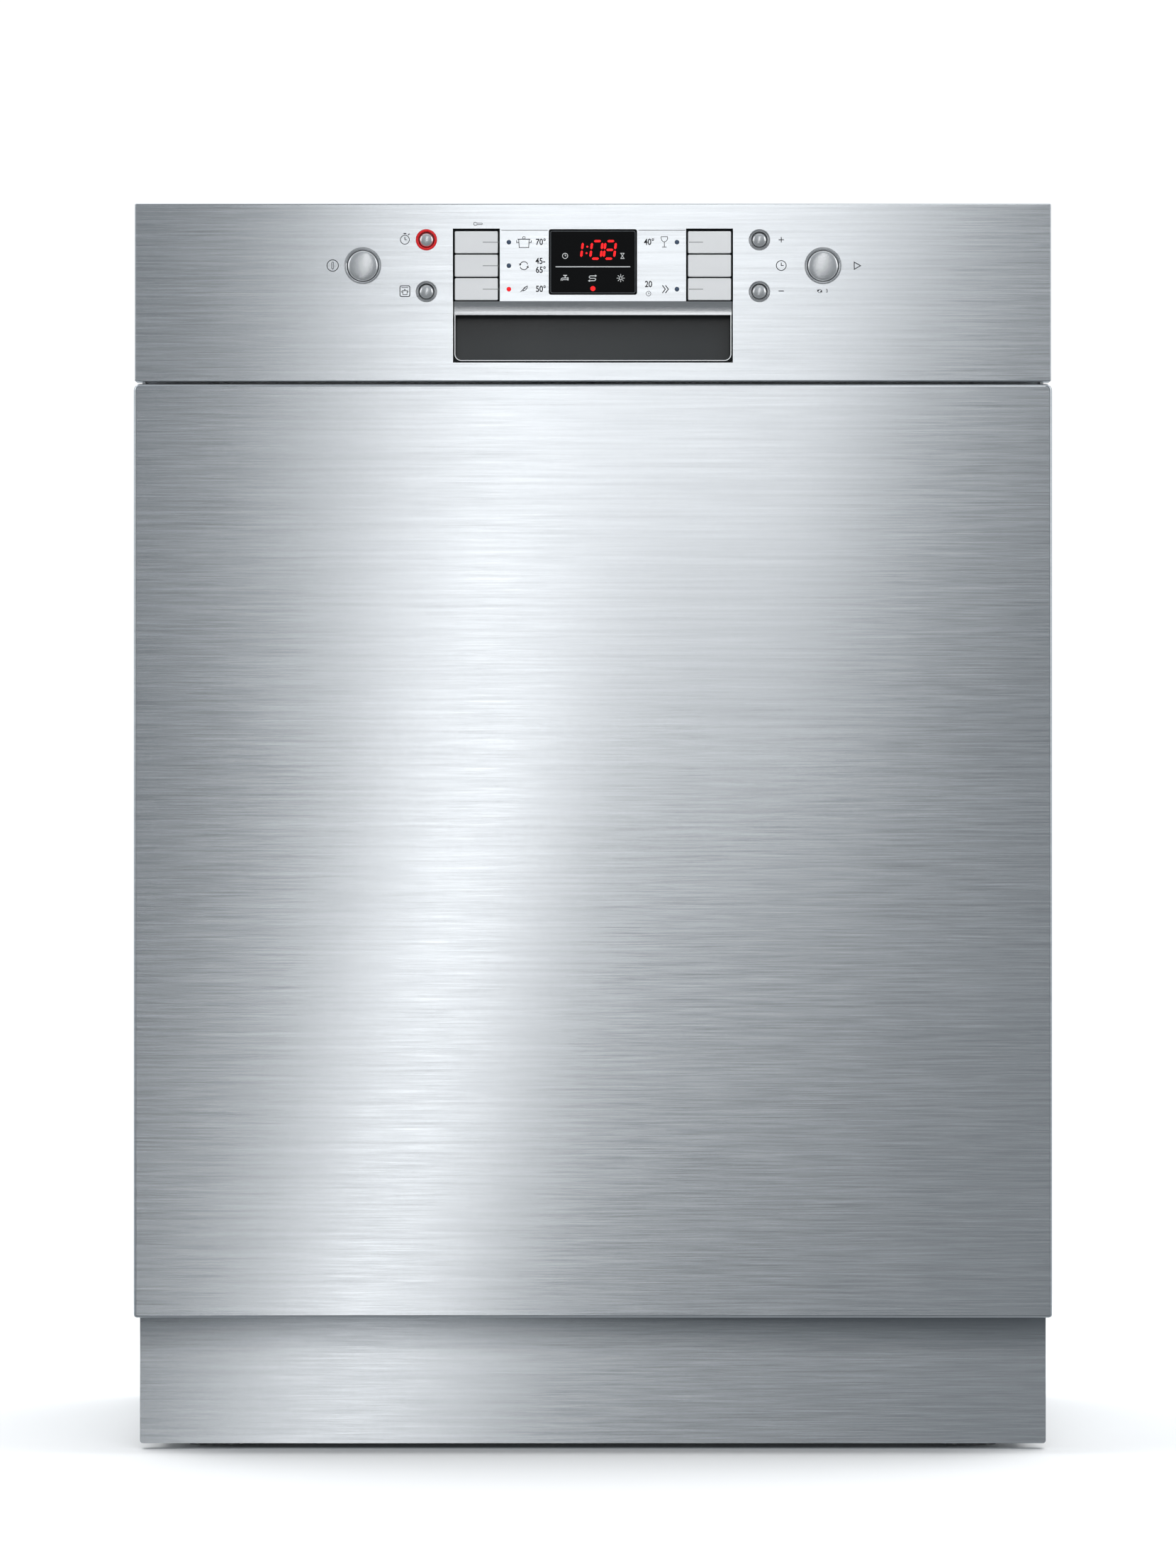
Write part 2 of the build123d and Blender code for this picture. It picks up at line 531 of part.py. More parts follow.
# Top frame: a folded steel frame with holes for the worktop screws and bolts for the strike.
TOP_Z = 812.0
TOP_HALF = 288.5
TOP_Y = (-233.0, 262.0)
TOP_SHEET = 1.5
TOP_FOLD = 1.2
TOP_RAIL = (34.0, 37.0, 36.0)
FOLD_BOTTOM = 804.0
STRIKE_GAP_HALF = 24.0
WORKTOP_HOLE = (230.0, -216.0, 2.5)
with BuildPart() as top_frame:
    under = TOP_Z - TOP_SHEET
    block((-TOP_HALF, TOP_HALF), TOP_Y, (under, TOP_Z))
    block(
        (-TOP_HALF + TOP_RAIL[0], TOP_HALF - TOP_RAIL[0]),
        (TOP_Y[0] + TOP_RAIL[1], TOP_Y[1] - TOP_RAIL[2]),
        (under - 1, TOP_Z + 1),
        Mode.SUBTRACT,
    )
    mirrored_block((STRIKE_GAP_HALF, TOP_HALF), (TOP_Y[0], TOP_Y[0] + TOP_FOLD), (FOLD_BOTTOM + 2.6, under))
    block((-TOP_HALF, TOP_HALF), (TOP_Y[1] - TOP_FOLD, TOP_Y[1]), (FOLD_BOTTOM, under))
    mirrored_block(
        (TOP_HALF - TOP_FOLD, TOP_HALF),
        (TOP_Y[0] + TOP_FOLD, TOP_Y[1] - TOP_FOLD),
        (FOLD_BOTTOM, under),
    )
    for side in (-1, 1):
        rod_z(WORKTOP_HOLE[2], side * WORKTOP_HOLE[0], WORKTOP_HOLE[1], (under - 5, TOP_Z + 5), Mode.SUBTRACT)
save(top_frame, "top_frame")

# Door strike: a steel tongue under the top frame that enters the door's slot.
STRIKE_ROOT = ((-18.0, 18.0), (-231.5, -200.0), (807.0, 810.4))
STRIKE_TONGUE = ((-8.0, 8.0), (-257.0, -231.5), (806.4, 809.2))
STRIKE_HEEL = ((-8.0, 8.0), (TUB_FRONT_Y, -231.5), (806.4, 810.4))
with BuildPart() as door_strike:
    block(*STRIKE_ROOT)
    block(*STRIKE_TONGUE)
    block(*STRIKE_HEEL)
    fillet(door_strike.edges().filter_by(Axis.Z).group_by(Axis.Y)[0], 3)
save(door_strike, "door_strike")

# Space inside the tub; the shell is cut with it.
TUB_BOTTOM = 112.0
ROOF_R = 22.0
REAR_R = 14.0
FLANGE_Z = (127.0, 806.0)
with BuildPart() as tub_space:
    block((-TUB_HALF, TUB_HALF), (TUB_FRONT_Y - 1, TUB_BACK_Y), (TUB_BOTTOM - 1, TUB_TOP))
    fillet(tub_space.edges().filter_by(Axis.Y).group_by(Axis.Z)[-1], ROOF_R)
    fillet(tub_space.faces().sort_by(Axis.Y)[-1].edges().filter_by(Axis.Z), REAR_R)

# Tub shell: roof, sides and back of the stainless tub with a flange round its mouth.
with BuildPart() as tub_shell:
    block(
        (-TUB_HALF - SHEET, TUB_HALF + SHEET),
        (TUB_FRONT_Y, TUB_BACK_Y + SHEET),
        (TUB_BOTTOM, TUB_TOP + SHEET),
    )
    fillet(tub_shell.edges().filter_by(Axis.Y).group_by(Axis.Z)[-1], ROOF_R + SHEET)
    fillet(tub_shell.faces().sort_by(Axis.Y)[-1].edges().filter_by(Axis.Z), REAR_R + SHEET)
    block((-TUB_FLANGE_HALF, TUB_FLANGE_HALF), (TUB_FRONT_Y, TUB_FRONT_Y + SHEET), FLANGE_Z)
    add(tub_space.part, mode=Mode.SUBTRACT)
save(tub_shell, "tub_shell")

# Tub floor: a pressed pan between two raised ledges that the basket wheels roll on.
PAN_WALL = 1.5
LEDGE_SKIN = 1.2
PAN_HALF = 228.0
PAN_Y = (-222.0, 204.0)
LEDGE_INSIDE_Y = (-234.0, 215.5)
RISER_NOTCH = ((-15.0, 15.0), (PAN_Y[1] - 1, 220.0))
with BuildPart() as tub_floor:
    edge_x = TUB_HALF - 0.4
    above = (PAN_TOP, LEDGE_TOP + 1)
    under = (PAN_BOTTOM - 1, LEDGE_TOP - LEDGE_SKIN)
    through = (PAN_BOTTOM - 1, PAN_TOP + 1)
    wall_x = PAN_HALF + PAN_WALL
    block((-edge_x, edge_x), (TUB_FRONT_Y + 0.4, TUB_BACK_Y - REAR_R - 0.4), (PAN_BOTTOM, LEDGE_TOP))
    block((-PAN_HALF, PAN_HALF), PAN_Y, above, Mode.SUBTRACT)
    mirrored_block((wall_x, edge_x - LEDGE_SKIN), LEDGE_INSIDE_Y, under, Mode.SUBTRACT)
    block((-wall_x, wall_x), (LEDGE_INSIDE_Y[0], PAN_Y[0] - PAN_WALL), under, Mode.SUBTRACT)
    block((-wall_x, wall_x), (PAN_Y[1] + PAN_WALL, LEDGE_INSIDE_Y[1]), under, Mode.SUBTRACT)
    rod_z(SUMP_R + 2, 0, 0, through, Mode.SUBTRACT)
    rod_z(SALT_NECK_R + 2, SALT_PLACE[0], SALT_PLACE[1], through, Mode.SUBTRACT)
    block(*RISER_NOTCH, above, Mode.SUBTRACT)
save(tub_floor, "tub_floor")

# Door gasket: one rubber profile round the top and sides of the tub's mouth.
SEAL_HALF = 280.0
SEAL_Z = (128.0, 798.0)
SEAL_CORNER_R = 24.0
SEAL_SECTION = (11.0, 6.4)
SEAL_LINE = [(-SEAL_HALF, SEAL_Z[0]), (-SEAL_HALF, SEAL_Z[1]), (SEAL_HALF, SEAL_Z[1]), (SEAL_HALF, SEAL_Z[0])]
with BuildPart() as door_gasket:
    with BuildSketch(front_plane(TUB_FRONT_Y - 0.2)):
        with BuildLine():
            FilletPolyline(*SEAL_LINE, radius=SEAL_CORNER_R)
        trace(line_width=SEAL_SECTION[0])
    extrude(amount=SEAL_SECTION[1])
save(door_gasket, "door_gasket")

# Insulation blanket: a felt cover over the roof, the sides and the back of the tub.
BLANKET = ((-286.0, 286.0), (-226.0, TUB_BACK_Y + 9), (135.0, 800.0))
BLANKET_GAP = 2.0
with BuildPart() as insulation_blanket:
    block(*BLANKET)
    block(
        (-TUB_HALF - BLANKET_GAP, TUB_HALF + BLANKET_GAP),
        (BLANKET[1][0] - 4, TUB_BACK_Y + BLANKET_GAP + SHEET),
        (BLANKET[2][0] - 5, TUB_TOP + BLANKET_GAP + SHEET),
        Mode.SUBTRACT,
    )
save(insulation_blanket, "insulation_blanket")

# Plinth: a steel front set back under the door, with folded edges.
PLINTH_HALF = 297.5
PLINTH_Z = (4.0, 88.0)
PLINTH_BACK_Y = -222.0
PLINTH_FOLD = 14.5
PLINTH_SKIN = 1.2
PLINTH_CORNER_R = 2.0
PLINTH_LUG = ((258.0, 272.0), (30.0, 60.0))
with BuildPart() as plinth_panel:
    skin_back_y = PLINTH_BACK_Y - PLINTH_FOLD + PLINTH_SKIN
    with BuildSketch(front_plane(PLINTH_BACK_Y)) as plinth_outline:
        with Locations((0, sum(PLINTH_Z) / 2)):
            Rectangle(2 * PLINTH_HALF, PLINTH_Z[1] - PLINTH_Z[0])
        fillet(plinth_outline.vertices().group_by(Axis.Y)[0], PLINTH_CORNER_R)
    extrude(amount=PLINTH_FOLD)
    block(
        (-PLINTH_HALF + SHEET, PLINTH_HALF - SHEET),
        (skin_back_y, PLINTH_BACK_Y + 1),
        (PLINTH_Z[0] + SHEET, PLINTH_Z[1] - SHEET),
        Mode.SUBTRACT,
    )
    mirrored_block(PLINTH_LUG[0], (skin_back_y, BASE_FRONT_Y - 0.3), PLINTH_LUG[1])
save(plinth_panel, "plinth_panel")

# Levelling feet: a round pad on a stem that slides in the base's boss.
PAD_R = 20.0
PAD_TOP = 8.0
STEM_TOP = 76.0
for place_name, (x, y) in FOOT_PLACES.items():
    with BuildPart() as foot:
        rod_z(PAD_R, x, y, (0, PAD_TOP))
        fillet(foot.edges().group_by(Axis.Z)[-1], 2)
        rod_z(FOOT_STEM_R, x, y, (PAD_TOP, STEM_TOP))
    save(foot, f"foot_{place_name}")

# ================= WATER CIRCUIT =================

# Sump: a pot under the tub floor with the hub post that carries the lower arm.
HUB_R = 12.0
HUB_TOP = 174.0
SUMP_WALL = 3.0
SUMP_FLOOR = 48.0
FLANGE_TOP = 117.6
FILTER_R = 30.0
with BuildPart() as sump:
    rod_z(SUMP_R, 0, 0, (SUMP_FLOOR, FLANGE_TOP))
    rod_z(SUMP_R + 16, 0, 0, (FLANGE_TOP - SUMP_WALL, FLANGE_TOP))
    rod_z(SUMP_R - SUMP_WALL, 0, 0, (SUMP_FLOOR + SUMP_WALL, FLANGE_TOP + 1.4), Mode.SUBTRACT)
    rod_z(HUB_R, 0, 0, (SUMP_FLOOR + 2, HUB_TOP))
    rod_z(SUMP_R + 0.6, 0, 0, (PAN_BOTTOM, PAN_TOP - 0.2))
    rod_z(FILTER_R + 1, FILTER_PLACE[0], FILTER_PLACE[1], (PAN_BOTTOM - 8, PAN_TOP + 5.5), Mode.SUBTRACT)
save(sump, "sump")

# Filter cylinder: a coarse strainer with a cross handle, standing in the sump.
FILTER_WALL = 2.5
FILTER_Z = (56.0, 124.0)
HANDLE = (28.5, 2.5, 146.0)
HANDLE_CORNER_R = 10.0
with BuildPart() as filter_cylinder:
    x, y = FILTER_PLACE
    rod_z(FILTER_R, x, y, FILTER_Z)
    rod_z(FILTER_R - FILTER_WALL, x, y, (FILTER_Z[0] + 4, FILTER_Z[1] + 1), Mode.SUBTRACT)
    block((x - HANDLE[0], x + HANDLE[0]), (y - HANDLE[1], y + HANDLE[1]), (FILTER_Z[1] - 12, HANDLE[2]))
    fillet(filter_cylinder.edges().filter_by(Axis.Y).group_by(Axis.Z)[-1], HANDLE_CORNER_R)
save(filter_cylinder, "filter_cylinder")

# Salt cap: a ribbed screw cap over the softener's filler neck.
SALT_CAP_R = 34.0
SALT_CAP_TOP = 134.0
SALT_RIB = (22.0, 4.0, 8.0)
with BuildPart() as salt_cap:
    x, y = SALT_PLACE
    rod_z(SALT_CAP_R, x, y, (PAN_TOP + 0.4, SALT_CAP_TOP))
    fillet(salt_cap.edges().group_by(Axis.Z)[-1], 3)
    block(
        (x - SALT_RIB[0], x + SALT_RIB[0]),
        (y - SALT_RIB[1], y + SALT_RIB[1]),
        (SALT_CAP_TOP, SALT_CAP_TOP + SALT_RIB[2]),
    )
save(salt_cap, "salt_cap")

# Softener: a moulded tank at the left rear with its filler neck under the tub floor.
TANK = ((-275.0, -122.0), (70.0, 225.0), (24.0, 104.0))
TANK_WALL = 4.0
TANK_CORNER_R = 12.0
with BuildPart() as softener_tank:
    block(*TANK)
    fillet(softener_tank.edges().filter_by(Axis.Z), TANK_CORNER_R)
    rod_z(SALT_NECK_R + 12, SALT_PLACE[0], SALT_PLACE[1], (TANK[2][1], FLANGE_TOP))
    inner = [(low + TANK_WALL, high - TANK_WALL) for low, high in TANK]
    block(*inner, Mode.SUBTRACT)
    rod_z(SALT_NECK_R, SALT_PLACE[0], SALT_PLACE[1], (TANK[2][1] - 14, FLANGE_TOP + 2), Mode.SUBTRACT)
save(softener_tank, "softener_tank")

# Circulation pump: volute, motor can, bearing boss and terminal block, beside the sump.
PUMP_STEPS = [(42.0, (92.0, 122.0)), (33.0, (122.0, 226.0)), (12.0, (226.0, 236.0))]
TERMINAL = ((140.0, 190.0), 16.0, (25.0, 40.0))
with BuildPart() as circulation_pump:
    y, z = PUMP_PLACE
    for radius, span in PUMP_STEPS:
        rod_x(radius, y, z, span)
    block(TERMINAL[0], (y - TERMINAL[1], y + TERMINAL[1]), (z + TERMINAL[2][0], z + TERMINAL[2][1]))
    fillet(circulation_pump.edges().filter_by(GeomType.CIRCLE).group_by(Axis.X)[0], 4)
save(circulation_pump, "circulation_pump")

# Drain pump: a small pump on the other side of the sump, with its outlet stub.
DRAIN_AXIS = (-20.0, 62.0)
DRAIN_STEPS = [(26.0, (-112.0, -90.0)), (20.0, (-168.0, -112.0))]
DRAIN_STUB = (7.0, -101.0, (0.0, 30.0))
with BuildPart() as drain_pump:
    for radius, span in DRAIN_STEPS:
        rod_x(radius, DRAIN_AXIS[0], DRAIN_AXIS[1], span)
    rod_y(DRAIN_STUB[0], DRAIN_STUB[1], DRAIN_AXIS[1], DRAIN_STUB[2])
save(drain_pump, "drain_pump")

# Riser pipe: floor duct, rear standpipe, roof duct and the roof sprinkler.
RISER_HALF = 14.0
RISER_BACK_Y = TUB_BACK_Y - 1
RISER_DEPTH = 13.0
RISER_Z = (PAN_TOP + 0.5, 780.0)
ROOF_DUCT_BOTTOM = 768.0
SPRINKLER = (34.0, (752.0, 758.0))
DOCK = ((-9.0, 9.0), (208.5, 219.0), (443.5, 455.5))
with BuildPart() as riser_pipe:
    riser_x = (-RISER_HALF, RISER_HALF)
    block(riser_x, (SUMP_R + 4, RISER_BACK_Y), (RISER_Z[0], RISER_Z[0] + RISER_DEPTH))
    block(riser_x, (RISER_BACK_Y - RISER_DEPTH, RISER_BACK_Y), RISER_Z)
    block(riser_x, (-12, RISER_BACK_Y), (ROOF_DUCT_BOTTOM, RISER_Z[1]))
    fillet(riser_pipe.edges().filter_by(Axis.X), 3)
    rod_z(9, 0, 0, (SPRINKLER[1][1] - 1, ROOF_DUCT_BOTTOM + 1))
    rod_z(SPRINKLER[0], 0, 0, SPRINKLER[1])
    block(*DOCK)
save(riser_pipe, "riser_pipe")


def spray_arm_outline(length, root, tip, sweep):
    """Two swept wings of a spray arm, wide at the root and round at the tip."""
    with BuildSketch(mode=Mode.PRIVATE) as outline:
        for turn in (0, 180):
            with BuildLine(Rotation(0, 0, turn)):
                far = Vector(length - tip, sweep)
                Spline((0, -root), (length * 0.5, -tip - 2), (far.X, far.Y - tip))
                ThreePointArc((far.X, far.Y - tip), (far.X + tip, far.Y), (far.X, far.Y + tip))
                Spline((far.X, far.Y + tip), (length * 0.5, tip + 8), (0, root))
                Line((0, root), (0, -root))
            make_face()
        Circle(root)
    return outline.sketch


# Lower spray arm: turns freely on the sump's hub post.
LOWER_ARM_Z = (154.0, 167.0)
with BuildPart() as lower_spray_arm:
    wings = Plane.XY.offset(LOWER_ARM_Z[0]) * spray_arm_outline(ARM_RADIUS, 26, 12, 8)
    extrude(wings, amount=LOWER_ARM_Z[1] - LOWER_ARM_Z[0])
    rod_z(HUB_R + 7, 0, 0, (LOWER_ARM_Z[0] - 4, LOWER_ARM_Z[1] + 4))
    rod_z(HUB_R + RUNNING_GAP, 0, 0, (LOWER_ARM_Z[0] - 14, LOWER_ARM_Z[1] + 13), Mode.SUBTRACT)
save(lower_spray_arm, "lower_spray_arm")

# Middle spray arm: hangs under the upper basket on its feed post.
FEED_R = 10.0
MIDDLE_ARM_Z = (431.0, 442.0)
with BuildPart() as middle_spray_arm:
    wings = Plane.XY.offset(MIDDLE_ARM_Z[0]) * spray_arm_outline(ARM_RADIUS - 8, 23, 11, -8)
    extrude(wings, amount=MIDDLE_ARM_Z[1] - MIDDLE_ARM_Z[0])
    rod_z(FEED_R + 6, 0, 0, (MIDDLE_ARM_Z[0] - 3, MIDDLE_ARM_Z[1] + 2))
    rod_z(FEED_R + RUNNING_GAP, 0, 0, (MIDDLE_ARM_Z[0] - 11, MIDDLE_ARM_Z[1] + 8), Mode.SUBTRACT)
save(middle_spray_arm, "middle_spray_arm")

# Hose connectors: threaded inlet stub and drain spigot on the base's rear wall.
INLET = (-235.0, 62.0, 13.2)
DRAIN = (-185.0, 70.0, 9.5)
STUB_Y = (BASE_BACK_Y + 0.2, BACK_Y)
STUB_WALL = 3.5
COLLAR = (5.0, 3.0)
with BuildPart() as hose_connectors:
    for x, z, radius in (INLET, DRAIN):
        rod_y(radius + COLLAR[0], x, z, (STUB_Y[0], STUB_Y[0] + COLLAR[1]))
        rod_y(radius, x, z, (STUB_Y[0] + COLLAR[1], STUB_Y[1]))
        rod_y(radius - STUB_WALL, x, z, (STUB_Y[0] + 2, STUB_Y[1] + 1), Mode.SUBTRACT)
save(hose_connectors, "hose_connectors")

# Mains terminal box with the cable gland, on the base's rear wall.
GLAND = (215.0, 60.0, 4.2)
GLAND_NUT_R = 9.0
BOX_BACK_Y = 281.0
TERMINAL_BOX = ((180.0, 250.0), (STUB_Y[0], BOX_BACK_Y), (38.0, 84.0))
with BuildPart() as terminal_box:
    block(*TERMINAL_BOX)
    fillet(terminal_box.edges().filter_by(Axis.Y), 4)
    rod_y(GLAND_NUT_R, GLAND[0], GLAND[1], (BOX_BACK_Y, BACK_Y))
    rod_y(GLAND[2], GLAND[0], GLAND[1], (BOX_BACK_Y - 7, BACK_Y + 1), Mode.SUBTRACT)
save(terminal_box, "terminal_box")

# ================= BASKETS =================


def wire_wall(plane, across, up, wires_up, wires_across):
    """A welded wire panel in one plane: uprights and cross wires inside a rim."""
    with BuildSketch(plane, mode=Mode.PRIVATE) as panel:
        middle_u, middle_v = sum(across) / 2, sum(up) / 2
        for u in grid_lines(across[0] + WIRE / 2, across[1] - WIRE / 2, wires_up):
            with Locations((u, middle_v)):
                Rectangle(WIRE, up[1] - up[0])
        for v in grid_lines(up[0] + WIRE / 2, up[1] - WIRE / 2, wires_across):
            with Locations((middle_u, v)):
                Rectangle(across[1] - across[0], WIRE)
    return panel.sketch


def basket(x_half, y, z, floor_wires, wall_wires):
    """Floor and four walls of a wire basket; each is one flat panel, a weld gap from the next."""
    extrude(wire_wall(Plane.XY.offset(z[0]), (-x_half, x_half), y, *floor_wires), amount=WIRE)
    wall_z = (z[0] + WIRE + WELD_GAP, z[1])
    for wall_y in (y[0] + WIRE, y[1]):
        extrude(wire_wall(front_plane(wall_y), (-x_half, x_half), wall_z, *wall_wires), amount=WIRE)
    side_y = (y[0] + WIRE + WELD_GAP, y[1] - WIRE - WELD_GAP)
    for wall_x in (-x_half, x_half - WIRE):
        extrude(wire_wall(Plane.YZ.offset(wall_x), side_y, wall_z, *wall_wires), amount=WIRE)


# Upper basket with its inner slide rails, the water feed duct and the arm's post.
UPPER_Y = (-214.0, 204.0)
INNER_RAIL_X = (242.0, 248.0)
RAIL_Z = (516.0, 534.0)
DUCT_BOTTOM = 445.0
with BuildPart() as upper_rack:
    basket(RACK_HALF, UPPER_Y, (UPPER_FLOOR_Z, UPPER_RIM_Z), (15, 13), (11, 4))
    mirrored_block((RACK_HALF + WELD_GAP, INNER_RAIL_X[1]), (-205, 200), RAIL_Z)
    rod_z(FEED_R, 0, 0, (MIDDLE_ARM_Z[0] - 5, UPPER_FLOOR_Z - WELD_GAP))
    block((-8, 8), (FEED_R + WELD_GAP, UPPER_Y[1] - 1), (DUCT_BOTTOM, UPPER_FLOOR_Z - WELD_GAP))
save(upper_rack, "upper_rack")

# Telescopic rails: the middle members that slide half as far as the basket.
MIDDLE_RAIL_X = (INNER_RAIL_X[1] + 0.8, 255.0)
with BuildPart() as upper_rails:
    mirrored_block(MIDDLE_RAIL_X, (-222, 210), (RAIL_Z[0] - 2, RAIL_Z[1] + 2))
save(upper_rails, "upper_rails")

# Fixed rail channels on the tub's side walls, open towards the basket.
CHANNEL_X = (250.0, TUB_HALF - 4)
CHANNEL_Y = (-224.0, 205.0)
CHANNEL_WALL = 2.0
LUG_HALF = 12.0
with BuildPart() as rail_channels:
    channel_z = (RAIL_Z[0] - 8, RAIL_Z[1] + 8)
    mirrored_block(CHANNEL_X, CHANNEL_Y, channel_z)
    mirrored_block(
        (CHANNEL_X[0] - 1, CHANNEL_X[1] - CHANNEL_WALL),
        (CHANNEL_Y[0] - 1, CHANNEL_Y[1] + 1),
        (channel_z[0] + CHANNEL_WALL, channel_z[1] - CHANNEL_WALL),
        Mode.SUBTRACT,
    )
    for y in (-150, 0, 140):
        mirrored_block((CHANNEL_X[1], TUB_HALF - 0.2), (y - LUG_HALF, y + LUG_HALF), RAIL_Z)
save(rail_channels, "rail_channels")

# Folding cup shelf on the left of the upper basket.
SHELF_PIVOT = (-229.0, 549.0)
SHELF_X = (SHELF_PIVOT[0] - WIRE / 2, -140.0)
SHELF_Y = (-170.0, 150.0)
with BuildPart() as cup_shelf_left:
    shelf_plane = Plane.XY.offset(SHELF_PIVOT[1] - WIRE / 2)
    extrude(wire_wall(shelf_plane, SHELF_X, SHELF_Y, 3, 12), amount=WIRE)
save(cup_shelf_left, "cup_shelf_left")

# Lower basket with four wheel brackets and their axle stubs.
LOWER_Y = (-212.0, 212.0)
AXLE_R = 3.5
BRACKET_X = (RACK_HALF + WELD_GAP, 245.0)
WHEEL_HALF = 8.0
with BuildPart() as lower_rack:
    basket(RACK_HALF, LOWER_Y, (LOWER_FLOOR_Z, LOWER_RIM_Z), (15, 13), (13, 4))
    for y in (WHEEL_FRONT_Y, WHEEL_REAR_Y):
        mirrored_block(BRACKET_X, (y - 10, y + 10), (WHEEL_Z - 8, LOWER_FLOOR_Z + 14))
        for side in (-1, 1):
            rod_x(AXLE_R, y, WHEEL_Z, sorted((side * (BRACKET_X[1] - 1), side * (WHEEL_X + WHEEL_HALF))))
save(lower_rack, "lower_rack")

# Basket wheels: a left and a right wheel on each axle line.
for name, y in (("wheels_front", WHEEL_FRONT_Y), ("wheels_rear", WHEEL_REAR_Y)):
    with BuildPart() as wheels:
        for side in (-1, 1):
            rim = sorted((side * (WHEEL_X - WHEEL_HALF), side * (WHEEL_X + WHEEL_HALF)))
            rod_x(WHEEL_R, y, WHEEL_Z, rim)
            rod_x(AXLE_R + RUNNING_GAP, y, WHEEL_Z, rim, Mode.SUBTRACT)
        fillet(wheels.edges().filter_by(GeomType.CIRCLE).filter_by(lambda e: e.radius > 10), 1.5)
    save(wheels, name)

# Folding tines: a cross rod with a comb of plate supports.
TINE_Y = 60.0
TINE_Z = LOWER_FLOOR_Z + WIRE + 3.5
TINE_X = (-208.0, 88.0)
TINE_COUNT = 13
TINE_HEIGHT = 72.0
with BuildPart() as folding_tines:
    with BuildSketch(front_plane(TINE_Y + WIRE / 2)):
        with Locations((sum(TINE_X) / 2, TINE_Z)):
            Rectangle(TINE_X[1] - TINE_X[0] + WIRE, WIRE)
        for x in grid_lines(*TINE_X, TINE_COUNT):
            with Locations((x, TINE_Z + TINE_HEIGHT / 2)):
                Rectangle(WIRE, TINE_HEIGHT)
    extrude(amount=WIRE)
save(folding_tines, "folding_tines")

# Cutlery basket: an open box with a bail and one divider, standing at the right front.
CUTLERY = ((120.0, 228.0), (-200.0, -60.0), (LOWER_FLOOR_Z + WIRE + 0.4, 290.0))
CUTLERY_WALL = 2.0
CUTLERY_CORNER_R = 8.0
DIVIDER_Y = (-131.0, -129.0)
BAIL = ((168.0, 180.0), (288.0, 316.0))
with BuildPart() as cutlery_basket:
    block(*CUTLERY)
    fillet(cutlery_basket.edges().filter_by(Axis.Z), CUTLERY_CORNER_R)
    cell_x = (CUTLERY[0][0] + CUTLERY_WALL, CUTLERY[0][1] - CUTLERY_WALL)
    cell_z = (CUTLERY[2][0] + CUTLERY_WALL, CUTLERY[2][1] + 1)
    block(cell_x, (CUTLERY[1][0] + CUTLERY_WALL, DIVIDER_Y[0]), cell_z, Mode.SUBTRACT)
    block(cell_x, (DIVIDER_Y[1], CUTLERY[1][1] - CUTLERY_WALL), cell_z, Mode.SUBTRACT)
    block(BAIL[0], DIVIDER_Y, BAIL[1])
save(cutlery_basket, "cutlery_basket")
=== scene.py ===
"""Looks for the built-in dishwasher: materials, printed marks, wire baskets and fine parts
around the fixed CAD frame. Metres, +Z up, the door's front faces -Y."""
import json
import math

import bmesh
import bpy
from mathutils import Matrix, Vector

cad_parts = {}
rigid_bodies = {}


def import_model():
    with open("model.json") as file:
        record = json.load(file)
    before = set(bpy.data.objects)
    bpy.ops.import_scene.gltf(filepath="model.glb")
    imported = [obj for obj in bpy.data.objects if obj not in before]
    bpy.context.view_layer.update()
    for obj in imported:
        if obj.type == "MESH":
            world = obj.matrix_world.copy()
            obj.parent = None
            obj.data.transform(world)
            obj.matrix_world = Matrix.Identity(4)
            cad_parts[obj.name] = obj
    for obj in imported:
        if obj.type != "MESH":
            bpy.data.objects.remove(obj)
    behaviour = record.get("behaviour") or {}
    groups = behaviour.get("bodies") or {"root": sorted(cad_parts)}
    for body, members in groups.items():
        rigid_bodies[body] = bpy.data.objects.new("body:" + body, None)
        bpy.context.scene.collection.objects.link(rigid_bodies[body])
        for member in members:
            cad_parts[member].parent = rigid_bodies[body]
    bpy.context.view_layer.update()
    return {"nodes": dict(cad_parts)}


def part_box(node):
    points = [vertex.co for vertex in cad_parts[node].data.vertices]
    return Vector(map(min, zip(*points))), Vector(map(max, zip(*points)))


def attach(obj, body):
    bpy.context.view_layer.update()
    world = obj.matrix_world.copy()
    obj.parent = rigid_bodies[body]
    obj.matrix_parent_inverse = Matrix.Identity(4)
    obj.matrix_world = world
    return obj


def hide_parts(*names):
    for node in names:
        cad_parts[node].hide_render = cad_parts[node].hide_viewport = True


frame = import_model()
nodes = frame["nodes"]
MM = 0.001

# ---------------------------------------------------------------- places and points
FRONT_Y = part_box("fascia_panel")[0].y
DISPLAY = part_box("display_window")
MID_Z = sum(corner.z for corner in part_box("button_power")) / 2
PLINTH_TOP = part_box("plinth_panel")[1].z
ROWS = ("top", "middle", "bottom")
SIDES = (-1, 1)


def centre(node):
    """Middle of a CAD node's box."""
    low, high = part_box(node)
    return (low + high) / 2


def box_mm(node):
    """A CAD node's box as (x, y, z) ranges in millimetres."""
    low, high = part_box(node)
    return [(a / MM, b / MM) for a, b in zip(low, high)]


def spread(low, high, count):
    """Evenly spaced values that include both ends."""
    return [low + (high - low) * i / (count - 1) for i in range(count)]


def about(middle, reach):
    """The range that reaches equally far to both sides of a middle."""
    return (middle - reach, middle + reach)


def arc_points(x, z, radius, start, end, steps):
    """Points along an arc, from start to end in degrees."""
    angles = [math.radians(a) for a in spread(start, end, steps + 1)]
    return [(x + radius * math.cos(a), z + radius * math.sin(a)) for a in angles]


